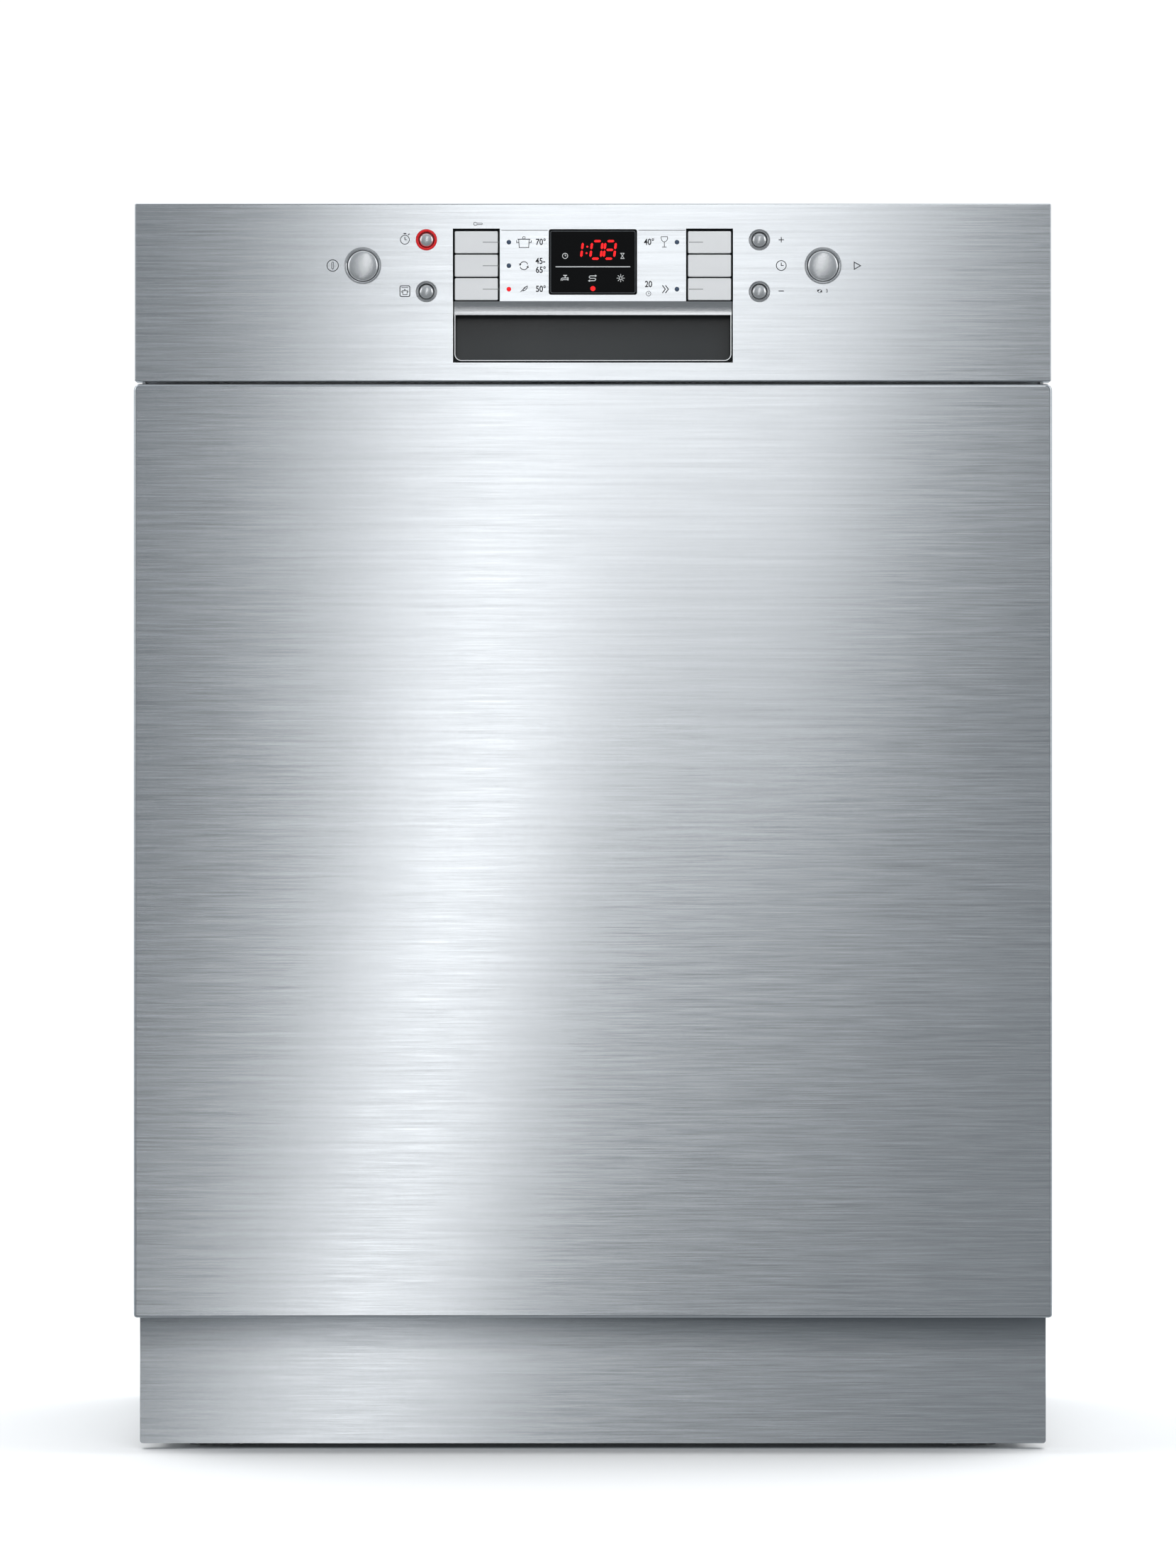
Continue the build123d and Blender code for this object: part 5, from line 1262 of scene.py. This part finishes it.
def make_spray_arms():
    """Both arms and the hubs that they turn on."""
    make_spray_arm("lower_spray_arm", 206, 26, 12, 8, (LOWER_ARM_Z, 167.0))
    make_spray_arm("middle_spray_arm", 198, 23, 11, -8, (MIDDLE_ARM_Z, 442.0))
    lower = Shape()
    hub = [(12.4, -4.0), (19.0, -4.0), (19.0, 13.5), (18.2, 15.6), (15.8, 17.0), (12.4, 17.0)]
    lower.turn(hub, (0, 0, LOWER_ARM_Z), steps=40, closed=True)
    lower.posts(around(10, 18.6), LOWER_ARM_Z + 2.0, LOWER_ARM_Z + 14.5, 1.1)
    lower.done("lower_arm_hub", "blue", "lower_spray_arm", "blue_grey_plastic", ["lower_spray_arm"])
    middle = Shape()
    hub = [(10.4, -3), (16, -3), (16, 12), (14.4, 13), (10.4, 13)]
    middle.turn(hub, (0, 0, MIDDLE_ARM_Z), steps=40, closed=True)
    middle.done("middle_arm_hub", "blue", "middle_spray_arm", "blue_grey_plastic", ["middle_spray_arm"])


def make_gasket():
    """Rubber door seal: a foot in the tub's flange, a hollow bulb and an outer lip."""
    x, y, z = box_mm("door_gasket")
    path = [(x[0] + 5.5, z[0]), (x[0] + 5.5, z[1] - 5.5), (x[1] - 5.5, z[1] - 5.5), (x[1] - 5.5, z[0])]
    line = [(p.x, p.y) for p in rounded_path([(*p, 0) for p in path], 24, steps=10)]
    front, back = y
    section = [(-5.4, back), (-5.4, back - 1.6), (-3.4, back - 2.4), (-4.6, front + 2.2), (-3.4, front + 0.6)]
    section += [(-1.2, front), (0.8, front + 0.5), (1.9, front + 2.0), (1.4, back - 2.6), (2.6, back - 2.0)]
    section += [(4.6, front + 1.4), (5.5, front + 1.6), (5.3, front + 2.6), (4.0, back - 1.2), (3.6, back)]
    shape = Shape()
    shape.ribbon(line, section)
    shape.done("door_gasket_profile", "rubber", "cabinet", "rubber", ["door_gasket"])


def screw_heads(shape, places, way, radius=3.6, height=1.6):
    """Pan-head screws with a round recess; way is the axis and sign they face."""
    axis, sign = way
    for place in places:
        head = [(radius, 0), (radius, height * 0.45), (radius * 0.8, height * 0.85), (radius * 0.45, height)]
        head += [(radius * 0.4, height * 0.45), (0, height * 0.45)]
        shape.turn([(r, sign * a) for r, a in head], place, axis, 18)


# ---------------------------------------------------------------- inside of the door
def make_liner_details():
    """Pressed beads and screws on the door's inner sheet, and the seal along its foot."""
    x, y, z = box_mm("inner_liner")
    face = y[1]
    beads = Shape()
    for width, height in ((500, 610), (484, 594)):
        loop = oblong(0, 470, width, height, 26)
        beads.wire([(u, face - 1.1, v) for u, v in loop], 1.9, 0, True, 10)
    for height in (225, 262, 299):
        beads.wire([(-150, face - 1.1, height), (150, face - 1.1, height)], 1.9, sides=10)
    beads.done("liner_pressed_beads", "inner_steel", "door", "stainless_inner")
    screws = Shape()
    sides = [(side * (x[1] - 7), face - 0.1, height) for side in (-1, 1) for height in (230, 420, 600, 760)]
    top = [(place, face - 0.1, z[1] - 7) for place in (-200, -70, 70, 200)]
    screw_heads(screws, sides + top, ("y", 1))
    screws.done("liner_screws", "zinc", "door", "steel_parts")
    seal = Shape()
    low = z[0] + 6
    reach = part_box("wheels_front")[1].x / MM - 20
    seal.slab((-reach, reach), (face - 0.6, face + 1.2), (low, low + 12), 0.6)
    seal.wire([(-reach, face + 2.4, low + 3), (reach, face + 2.4, low + 3)], 2.2, sides=12)
    seal.wire([(-reach, face + 1.6, low + 8), (reach, face + 1.6, low + 8)], 1.4, sides=10)
    seal.done("door_bottom_seal", "rubber", "door", "rubber")


def make_dispenser():
    """Rim, catch, dosing dots and rails on the inside of the door, with the lid and the cap."""
    x, y, z = box_mm("dispenser_body")
    face = y[1]
    cap_x, cap_y, cap_z = box_mm("rinse_aid_cap")
    lid_x, lid_y, lid_z = box_mm("detergent_lid")
    cap_mid = (sum(cap_x) / 2, sum(cap_z) / 2)
    cap_middle = (cap_mid[0], face, cap_mid[1])
    shape = Shape()
    rim = oblong(sum(x) / 2, sum(z) / 2, x[1] - x[0] - 5, z[1] - z[0] - 5, 7)
    section = [(-1.6, -0.4), (-1.2, 0.7), (0, 1.1), (1.2, 0.7), (1.6, -0.4)]
    shape.ribbon(rim, [(outwards, face + rise) for outwards, rise in section], True)
    ring = [(14.6, -0.4), (14.6, 0.8), (15.4, 1.4), (16.4, 1.1), (17, -0.4)]
    shape.turn(ring, cap_middle, "y", 48, closed=True)
    for u, v in arc_points(*cap_mid, 22.5, 60, 200, 5):
        shape.turn([(1.4, -0.3), (1.4, 0.5), (0.8, 0.8), (0, 0.8)], (u, face, v), "y", 14)
    for side in SIDES:
        rail = side * 4.6 + sum(lid_z) / 2 + side * (lid_z[1] - lid_z[0]) / 2
        shape.slab((lid_x[0] - 20, lid_x[1] + 2), (face - 0.3, face + 2.6), about(rail, 1.6), 1.0)
    catch_z = sum(z) / 2 + 50
    shape.slab((26, 54), (face - 0.5, face + 3.0), about(catch_z, 6.5), 2.2, 3)
    for place in (31, 36, 41, 46):
        shape.slab((place, place + 1.8), (face + 2.6, face + 3.8), about(catch_z, 4.5), 0.6)
    shape.done("dispenser_trim", "grey", "door", "grey_plastic")
    lid = Shape()
    lid_face = lid_y[1] - 2.4
    outline = oblong(sum(lid_x) / 2, sum(lid_z) / 2, lid_x[1] - lid_x[0] - 0.4, lid_z[1] - lid_z[0] - 0.4, 6)
    profile = [(1.0, lid_y[0]), (0, lid_y[0] + 0.4)]
    profile += [(0, lid_face - 1.2), (0.5, lid_face - 0.4), (1.6, lid_face)]
    lid.plate(outline, profile, "y")
    for k in range(5):
        rib = lid_x[1] - 14 - 5 * k
        lid.slab(about(rib, 1.3), (lid_face - 0.4, lid_face + 2.2 - 0.25 * k), (434, 480), 1.0, 3)
    lid.done("detergent_lid_moulded", "grey_light", "detergent_lid", "grey_plastic", ["detergent_lid"])
    cap = Shape()
    front = cap_y[1] - 3.0
    profile = [(11.6, cap_y[0]), (11.6, front - 2.4), (13.2, front - 2.4)]
    profile += [(14, front - 1.8), (14, front - 0.6), (13.2, front), (0, front + 0.3)]
    cap.turn(profile, (cap_mid[0], 0, cap_mid[1]), "y", 48)
    grip = (cap_mid[1] - 2, cap_mid[1] + 2)
    cap.slab((cap_x[0] + 4, cap_x[1] - 4), (front - 0.5, front + 3.0), grip, 1.2, 3)
    cap.posts(around(18, 13.7, cap_mid), front - 2.2, front - 0.5, 0.7, "y")
    cap.done("rinse_aid_cap_moulded", "blue", "rinse_aid_cap", "blue_grey_plastic", ["rinse_aid_cap"])


# ---------------------------------------------------------------- tub, sump and filter
def make_tub_details():
    """Pressed beads on the tub's sides, back and roof."""
    x, y, _ = box_mm("tub_shell")
    half, back, roof = x[1] - 1.0, y[1] - 1.0, box_mm("insulation_blanket")[2][1] - 10.0
    lines = []
    for side in SIDES:
        wall = side * (half + 0.9)
        lines += [[(wall, -190, height), (wall, 190, height)] for height in (250, 340, 650)]
    lines += [[(place, back + 0.9, 190), (place, back + 0.9, 730)] for place in (-200, -120, 120, 200)]
    lines += [[(place, -180, roof + 0.9), (place, 180, roof + 0.9)] for place in (-180, 180)]
    beads = Shape()
    for line in lines:
        beads.wire(line, 2.2, sides=10)
    beads.done("tub_pressed_beads", "inner_steel", "cabinet", "stainless_inner")


HOLE_PITCH = 4.6


def make_filter():
    """Rings and holes of the plate round the hub, and the meshed strainer with its handle."""
    x, y, z = box_mm("filter_cylinder")
    mid_x, mid_y = middle = (sum(x) / 2, sum(y) / 2)
    plate_z = box_mm("salt_cap")[2][0] - 0.5
    plate = Shape()
    for inner, outer, height in ((80, 83.5, 1.4), (55, 56.5, 0.9), (14.5, 18, 1.4)):
        plate.hoop(inner, outer, -0.4, height, (0, 0, plate_z), 72)
    collar = [(31.6, -0.4), (31.6, 1.8), (34.6, 1.4), (34.6, -0.4)]
    plate.turn(collar, (*middle, plate_z), steps=56, closed=True)
    plate.done("filter_plate_rings", "inner_steel", "cabinet", "stainless_inner")
    holes = Shape()
    for radius in range(21, 79, 4):
        count = int(2 * math.pi * radius / HOLE_PITCH)
        for p in around(count, radius, start=180 / count if radius % 8 > 3 else 0):
            if (Vector(p) - Vector(middle)).length > 36.5 and abs(radius - 55.5) > 2.5:
                holes.turn([(1.2, -0.2), (1.2, 0.15), (0, 0.15)], (*p, plate_z), steps=8)
    holes.done("filter_plate_holes", "black", "cabinet", "stainless_inner")
    mesh = Shape()
    radius = (x[1] - x[0]) / 2
    for height in (z[0], z[0] + 16, z[0] + 32, z[0] + 48, 120.0):
        mesh.hoop(radius, radius - 2.4, 0, 3.5, (*middle, height))
    mesh.posts(around(40, radius - 1.2, middle), z[0] + 1, 122, 0.9)
    mesh.turn([(0, 0), (radius - 1, 0), (radius - 1, 3), (0, 3)], (*middle, z[0]), steps=56)
    handle = [(-27, 112.0), (27, 112.0), (27, 128), (17, z[1]), (-17, z[1]), (-27, 128)]
    rounded = [(p.x, p.y) for p in rounded_path([(mid_x + u, v, 0) for u, v in handle], 9, True)]
    profile = [(0.8, -2.5), (0, -1.6), (0, 1.6), (0.8, 2.5)]
    mesh.plate(rounded, [(inset, mid_y + along) for inset, along in profile], "y")
    for height in (130, 134, 138):
        mesh.slab(about(mid_x, 14), about(mid_y, 3.3), (height, height + 1.6), 0.7)
    mesh.done("filter_strainer", "blue", "filter_cylinder", "blue_grey_plastic", ["filter_cylinder"])


def make_salt_cap():
    """Grip ribs round the salt cap and two rings on its face."""
    x, y, z = box_mm("salt_cap")
    middle, top = (sum(x) / 2, sum(y) / 2), z[1] - 8
    salt = Shape()
    salt.posts(around(28, 33.6, middle), z[0] + 1, top - 2.5, 1.2, sides=8)
    for inner, outer in ((24, 26), (29, 30.4)):
        salt.hoop(inner, outer, -0.4, 0.8, (*middle, top))
    salt.done("salt_cap_ribs", "blue", "salt_cap", "blue_grey_plastic")


def make_rails():
    """Ball races, end stops and front caps on the telescopic rails."""
    x, y, z = box_mm("upper_rails")
    shape = Shape()
    for side in SIDES:
        inner = side * (x[1] - 6.2)
        shape.slab((inner, side * x[1]), y, z, 0.8)
        for height in (z[0] + 3.2, z[1] - 3.2):
            shape.wire([(inner, y[0] + 4, height), (inner, y[1] - 4, height)], 0.7, sides=8)
        screw_heads(shape, [(inner, place, sum(z) / 2) for place in (-180, 20, 180)], ("x", -side), 3.0, 0.6)
    shape.done("upper_rail_members", "zinc", "upper_rails", "steel_parts", ["upper_rails"])
    x, y, z = box_mm("rail_channels")
    caps = Shape()
    for side in SIDES:
        for place in (y[0] + 0.5, y[1] - 0.5):
            for low, high in ((z[0] - 1, z[0] + 5), (z[1] - 5, z[1] + 1)):
                caps.slab((side * 249.4, side * 270), about(place, 4), (low, high), 1.5)
    caps.done("rail_end_caps", "grey", "cabinet", "grey_plastic")


RISER_HALF = 14.0
RISER_DEPTH = 13.0
DOCK_Z = 449.5


def make_riser():
    """Moulded water pipes: floor duct, ribbed standpipe, roof duct and the roof sprinkler."""
    _, (_, back), (foot, _) = box_mm("riser_pipe")
    front, roof = back - RISER_DEPTH, box_mm("insulation_blanket")[2][1] - 20.0
    width, rib = (-RISER_HALF, RISER_HALF), (-RISER_HALF - 0.5, RISER_HALF + 0.5)
    pipe = Shape()
    pipe.slab(width, (88, back), (foot, foot + RISER_DEPTH), 5.5, 4)
    pipe.slab(width, (front, back), (foot, roof), 5.5, 4)
    pipe.slab(width, (-12, back), (roof - 12, roof), 5.0, 4)
    for height in spread(foot + 50, roof - 50, 9):
        if abs(height - DOCK_Z) > 14:
            pipe.slab(rib, (front - 0.6, back), about(height, 1.5), 1.2)
    for place in spread(20, back - 40, 6):
        pipe.slab(rib, about(place, 1.5), (roof - 12.6, roof), 1.2)
    dock = [(9.6, 208.5), (11.2, 209.2), (11.2, front + 3), (7.6, front + 3), (7.6, 209.2), (8.2, 208.5)]
    pipe.turn(dock, (0, 0, DOCK_Z), "y", 32, closed=True)
    pipe.done("riser_moulded", "grey", "cabinet", "grey_plastic", ["riser_pipe"])
    spray = Shape()
    bell = [(0, 752.6), (6, 752.2), (18, 752.2), (32, 753.4), (34, 755), (33, 757), (16, 758.4)]
    spray.turn([*bell, (10, 760), (9, 768.5)], (0, 0, 0), steps=56)
    spray.done("roof_sprinkler", "grey", "cabinet", "grey_plastic", ["riser_pipe"])
    jets = Shape()
    for radius, count, level in ((12, 6, 752.05), (24, 10, 752.6)):
        for p in around(count, radius):
            jets.turn([(0, -0.3), (1.7, -0.3), (1.7, 0.5), (0, 0.5)], (*p, level), steps=14)
    jets.done("roof_sprinkler_jets", "black", "cabinet", "grey_plastic")


LATCH_PIVOT = (-250.0, 797.5)


def make_door_edge_details():
    """Pivots beside the latch, and ribs and screws on the hinge arms."""
    _, y, z = box_mm("door_latch")
    shape = Shape()
    for side in SIDES:
        shape.slab((side * 11, side * 19), (y[0] + 1, y[1] - 1), (z[0] - 1.5, z[0] + 3.0), 1.0)
        pin = [(4.2, 0), (4.2, side * 1.6), (3.2, side * 2.2), (0, side * 2.2)]
        shape.turn(pin, (side * 20, *LATCH_PIVOT), "x", 24)
    shape.done("latch_pivots", "black", "door", "black_plastic")
    arms = Shape()
    _, y, z = box_mm("hinge_arms")
    for side in SIDES:
        wall = side * 272.7
        arms.slab((wall, wall + side * 0.9), (y[0] + 4, y[1] - 4), (z[0] + 24, z[1] - 8), 0.4)
        screws = [(wall + side * 0.6, -262.0, h) for h in (z[0] + 40, z[1] - 60)]
        screw_heads(arms, screws, ("x", side), 3.2, 1.2)
    arms.done("hinge_arm_ribs", "zinc", "door", "steel_parts")


# ---------------------------------------------------------------- outside of the cabinet
def make_panel_beads():
    """Pressed beads and screws on the side panels, and the screws of the top frame and strike."""
    beads, screws = Shape(), Shape()
    for side, node in zip(SIDES, ("side_panel_left", "side_panel_right")):
        x, y, z = box_mm(node)
        wall = side * (max(abs(v) for v in x) - 1.3)
        for inset in (46, 58):
            low, high, foot, head = y[0] + inset, y[1] - inset, 150 + inset, z[1] - inset
            corners = [(low, foot), (high, foot), (high, head), (low, head)]
            beads.wire([(wall, *p) for p in corners], 2.2, 26, True, 10)
        for place in (-110, 10, 130):
            beads.wire([(wall, place, 260), (wall, place, 690)], 2.2, sides=10)
        edge = side * (abs(wall) + 1.2)
        screw_heads(screws, [(edge, y[0] + 12, h) for h in (160, 480, 780)], ("x", side), 3.6, 1.5)
        screw_heads(screws, [(edge, y[1] - 14, h) for h in (60, 300, 560, 790)], ("x", side), 3.6, 1.5)
    beads.done("side_panel_beads", "galvanised", "cabinet", "galvanised")
    x, y, z = box_mm("top_frame")
    places = [(side * (x[1] - 14), v, z[1] - 0.1) for side in SIDES for v in (y[0] + 12, 0, y[1] - 14)]
    screw_heads(screws, places, ("z", 1), 3.8, 1.6)
    screw_heads(screws, [(side * 13, -214, 812) for side in SIDES], ("z", 1), 3.2, 1.4)
    screws.done("cabinet_screws", "zinc", "cabinet", "steel_parts")


# The quilted jacket: felt thickness, bend radius, where its seams run, how deep they sit and how
# far the felt swells between them.
JACKET_WALL = 5.0
JACKET_CORNER = 9.0
JACKET_SEAMS = (-190.0, -64.0, 64.0, 190.0)
SEAM_DEPTH = 2.6
PUFF = 0.5


def quilting(across, along, border):
    """How far padded felt stands out at a place between its seams, flat near the panel's border."""
    seam = min(abs(across - place) for place in JACKET_SEAMS)
    puff = 1 - math.exp(-((seam / 11) ** 2))
    pucker = 0.5 + 0.5 * math.sin(along / 4.1 + 2 * math.sin(along / 37))
    raised = PUFF - (PUFF + SEAM_DEPTH) * (1 - puff) - 0.7 * pucker * math.exp(-seam / 20)
    flat = min(1.0, max(0.0, (border - 22) / 26))
    return -PUFF + (raised + PUFF) * flat * flat * (3 - 2 * flat)


def jacket_arch(x, z):
    """Points up the left side, over the roof and down the right, each with its outward direction."""
    shoulder = z[1] - JACKET_CORNER
    arch = [(x[0], h, -1.0, 0.0) for h in spread(z[0], shoulder, 68)]
    for side, start in ((-1, 180), (1, 90)):
        middle = (side * (x[1] - JACKET_CORNER), shoulder)
        for k in range(1, 6):
            a = math.radians(start - 90 * k / 6)
            out = (math.cos(a), math.sin(a))
            arch.append((middle[0] + JACKET_CORNER * out[0], middle[1] + JACKET_CORNER * out[1], *out))
        if side < 0:
            arch += [(w, z[1], 0.0, 1.0) for w in spread(x[0] + JACKET_CORNER, x[1] - JACKET_CORNER, 82)]
    arch += [(x[1], h, 1.0, 0.0) for h in spread(shoulder, z[0], 68)]
    return arch


def make_quilt(x, y, z):
    """The padded felt cover: a quilted arch over sides and roof that closes over the back."""
    arch = jacket_arch(x, z)
    outer, inner = [], []

    def ring(places):
        """One row of the cover, from places given as a point, its direction and its rise."""
        outer.append([Vector(p) + Vector(n) * rise for p, n, rise in places])
        inner.append([Vector(p) - Vector(n) * JACKET_WALL for p, n, _ in places])

    for along in spread(y[0], y[1] - JACKET_CORNER, 48):
        row = []
        for px, pz, nx, nz in arch:
            border = min(along - y[0], y[1] - along)
            rise = quilting(px, along, min(border, x[1] - abs(px))) if nz == 1.0 else -PUFF
            row.append(((px, along, pz), (nx, 0, nz), rise))
        ring(row)
    for k in range(1, 7):
        a = math.radians(90 * k / 6)
        inset = JACKET_CORNER * (1 - math.cos(a))
        along = y[1] - JACKET_CORNER * (1 - math.sin(a))
        row = []
        for px, pz, nx, nz in arch:
            out = (nx * math.cos(a), math.sin(a), nz * math.cos(a))
            row.append(((px - nx * inset, along, pz - nz * inset), out, -PUFF))
        ring(row)
    for share in spread(1.0, 0.0, 40)[1:]:
        row = []
        for px, pz, nx, nz in arch:
            across = share * (px - nx * JACKET_CORNER)
            height = z[0] + share * (pz - nz * JACKET_CORNER - z[0])
            border = min(x[1] - abs(across), z[1] - height, height - z[0])
            row.append(((across, y[1], height), (0, 1, 0), quilting(across, height, border)))
        ring(row)
    cover = Shape()
    grids = [[[cover.bm.verts.new(p) for p in row] for row in side] for side in (outer, inner)]
    for grid in grids:
        for low, high in zip(grid, grid[1:]):
            for i in range(len(low) - 1):
                cover.bm.faces.new([low[i], low[i + 1], high[i + 1], high[i]])
    out, back = grids
    borders = [list(zip(out[0], back[0]))]
    borders += [[(a[end], b[end]) for a, b in zip(out, back)] for end in (0, -1)]
    for border in borders:
        for (a, b), (c, d) in zip(border, border[1:]):
            cover.bm.faces.new([a, b, d, c])
    quilt = cover.done("jacket_quilt", "felt", "cabinet", "felt", ["insulation_blanket"], sharp=60)


def make_jacket():
    """The quilted felt jacket, its stitches, edge tape and two straps."""
    x, y, z = box_mm("insulation_blanket")
    make_quilt(x, y, z)
    back, roof = y[1], z[1]
    seams = Shape()
    stitch = (-SEAM_DEPTH - 0.9, -SEAM_DEPTH + 0.5)
    back_y, roof_z = [tuple(face + rise for rise in stitch) for face in (back, roof)]
    for place in JACKET_SEAMS:
        thread = about(place, 0.9)
        for height in spread(z[0] + 48, roof - 48, 58):
            seams.slab(thread, back_y, about(height, 3.4), 0.5, 1)
        for along in spread(y[0] + 48, back - 48, 34):
            seams.slab(thread, about(along, 3.4), roof_z, 0.5, 1)
    seams.done("jacket_stitches", "thread", "cabinet", "felt")
    tape = Shape()
    for side in SIDES:
        edge = side * (x[1] - 15)
        tape.slab(about(edge, 11), (back - 1.0, back + 0.2), (z[0] + 2, roof - 9), 0.4, 1)
    for ends in ((roof - 30, roof - 9), (z[0] + 1, z[0] + 22)):
        tape.slab((x[0] + 9, x[1] - 9), (back - 1.0, back + 0.3), ends, 0.4, 1)
    tape.done("jacket_edge_tape", "foil", "cabinet", "felt")
    straps = Shape()
    for height in (330.0, 610.0):
        straps.slab((x[0] + 1, x[1] - 1), (back + 0.2, back + 1.8), about(height, 9), 0.6)
        section = [(-2.2, back + 1), (-2.2, back + 3.6), (0, back + 4.2), (2.2, back + 3.6), (2.2, back + 1)]
        straps.ribbon(oblong(120, height, 34, 30, 4), section, True)
        straps.slab((60, 112), (back + 1.6, back + 2.8), about(height, 9), 0.5)
    straps.done("jacket_straps", "black", "cabinet", "black_plastic")


def make_base_ribs():
    """Upright ribs on the base tray's back and sides."""
    back = box_mm("hose_connectors")[1][0] - 0.2
    ribs = Shape()
    for place in spread(-150, 150, 11):
        ribs.slab(about(place, 1.4), (back - 0.5, back + 3.5), (24, 94), 1.0)
    for height in (26, 92):
        ribs.slab((-152, 152), (back - 0.5, back + 3.5), about(height, 1.6), 1.0)
    for side in SIDES:
        for place in spread(-150, 200, 8):
            ribs.slab((side * 290.8, side * 293.4), about(place, 1.4), (24, 90), 1.0)
    ribs.done("base_ribs", "base", "cabinet", "base_plastic")


FOOT_LOBES = 12
FOOT_WAVE = 1.1
STEM = 5.0
STEM_THREAD = 0.8


def make_feet():
    """Lobed feet on threaded stems."""
    for node in ("foot_front_left", "foot_front_right", "foot_rear"):
        x, y, z = box_mm(node)
        spot = (sum(x) / 2, sum(y) / 2)
        outline = []
        for u, v in around(96, 1):
            radius = (x[1] - x[0]) / 2 - FOOT_WAVE + FOOT_WAVE * math.cos(FOOT_LOBES * math.atan2(v, u))
            outline.append((spot[0] + radius * u, spot[1] + radius * v))
        foot = Shape()
        foot.plate(outline, [(1.2, 0.0), (0, 1.2), (0, 6.2), (0.8, 7.4), (2.4, 8.0)])
        thread = [(STEM, 8.0)]
        for k in range(27):
            thread += [(STEM, 9 + 2.4 * k), (STEM - STEM_THREAD, 10.2 + 2.4 * k)]
        core = STEM - STEM_THREAD
        foot.turn([*thread, (core, z[1]), (0, z[1])], (*spot, 0), steps=24)
        foot.done(f"{node}_moulded", "black", node, "base_plastic", [node])


PUMP_Z = 68.0


def make_pump_details():
    """Ribs and screws on the circulation pump."""
    axis_y = sum(box_mm("circulation_pump")[1]) / 2
    pump = Shape()
    rib = [(32.4, -1.2), (34.4, -0.8), (34.4, 0.8), (32.4, 1.2)]
    for place in spread(130, 218, 12):
        pump.turn(rib, (place, axis_y, PUMP_Z), "x", 40, closed=True)
    screw_heads(pump, [(122.2, *p) for p in around(6, 37.5, (axis_y, PUMP_Z), 30)], ("x", 1), 2.6, 1.6)
    pump.done("circulation_pump_ribs", "zinc", "cabinet", "black_plastic")


def make_hose_threads():
    """The inlet's thread and the drain spigot's barbs."""
    front = box_mm("hose_connectors")[1][0] + 6.5
    inlet = [(12.9, -0.9), (13.9, -0.1), (13.9, 0.1), (12.9, 0.9)]
    barb = [(9.2, -1.6), (9.2, 1.6), (10.3, 1.2), (9.4, -1.6)]
    thread = Shape()
    for k in range(6):
        thread.turn(inlet, (-235.0, front + 2.6 * k, 62.0), "y", 40, closed=True)
    for k in range(4):
        thread.turn(barb, (-185.0, front + 4 * k, 70.0), "y", 40, closed=True)
    thread.done("hose_connector_threads", "black", "cabinet", "black_plastic")


def make_terminal_box():
    """The terminal box's raised lid edge, two screws and the gland's grip."""
    x, y, z = box_mm("terminal_box")
    lid = y[1] - 5.5
    box = Shape()
    outline = oblong(sum(x) / 2, sum(z) / 2 + 12, x[1] - x[0] - 8, 14, 3)
    box.plate(outline, [(0, lid - 0.4), (0, lid + 0.9), (0.8, lid + 1.4)], "y")
    screw_heads(box, [(u, lid + 1.2, 76) for u in (x[0] + 12, x[1] - 12)], ("y", 1), 3.2, 1.4)
    box.posts(around(12, 9, (215, 60)), lid + 0.4, y[1] - 0.6, 0.9, "y")
    box.done("terminal_box_details", "black", "cabinet", "black_plastic")


make_camera()
make_studio()
make_floor()
dress_nodes()
print_fascia()
light_display()
tick_keys()
make_bezels()
make_lamps()
edge_cup()
make_caps()
make_grip_band()
make_lower_basket()
make_upper_basket()
make_cup_shelf()
make_folding_tines()
make_wheels()
make_cutlery_basket()
make_spray_arms()
make_gasket()
make_liner_details()
make_dispenser()
make_tub_details()
make_filter()
make_salt_cap()
make_rails()
make_riser()
make_door_edge_details()
make_panel_beads()
make_jacket()
make_base_ribs()
make_feet()
make_pump_details()
make_hose_threads()
make_terminal_box()
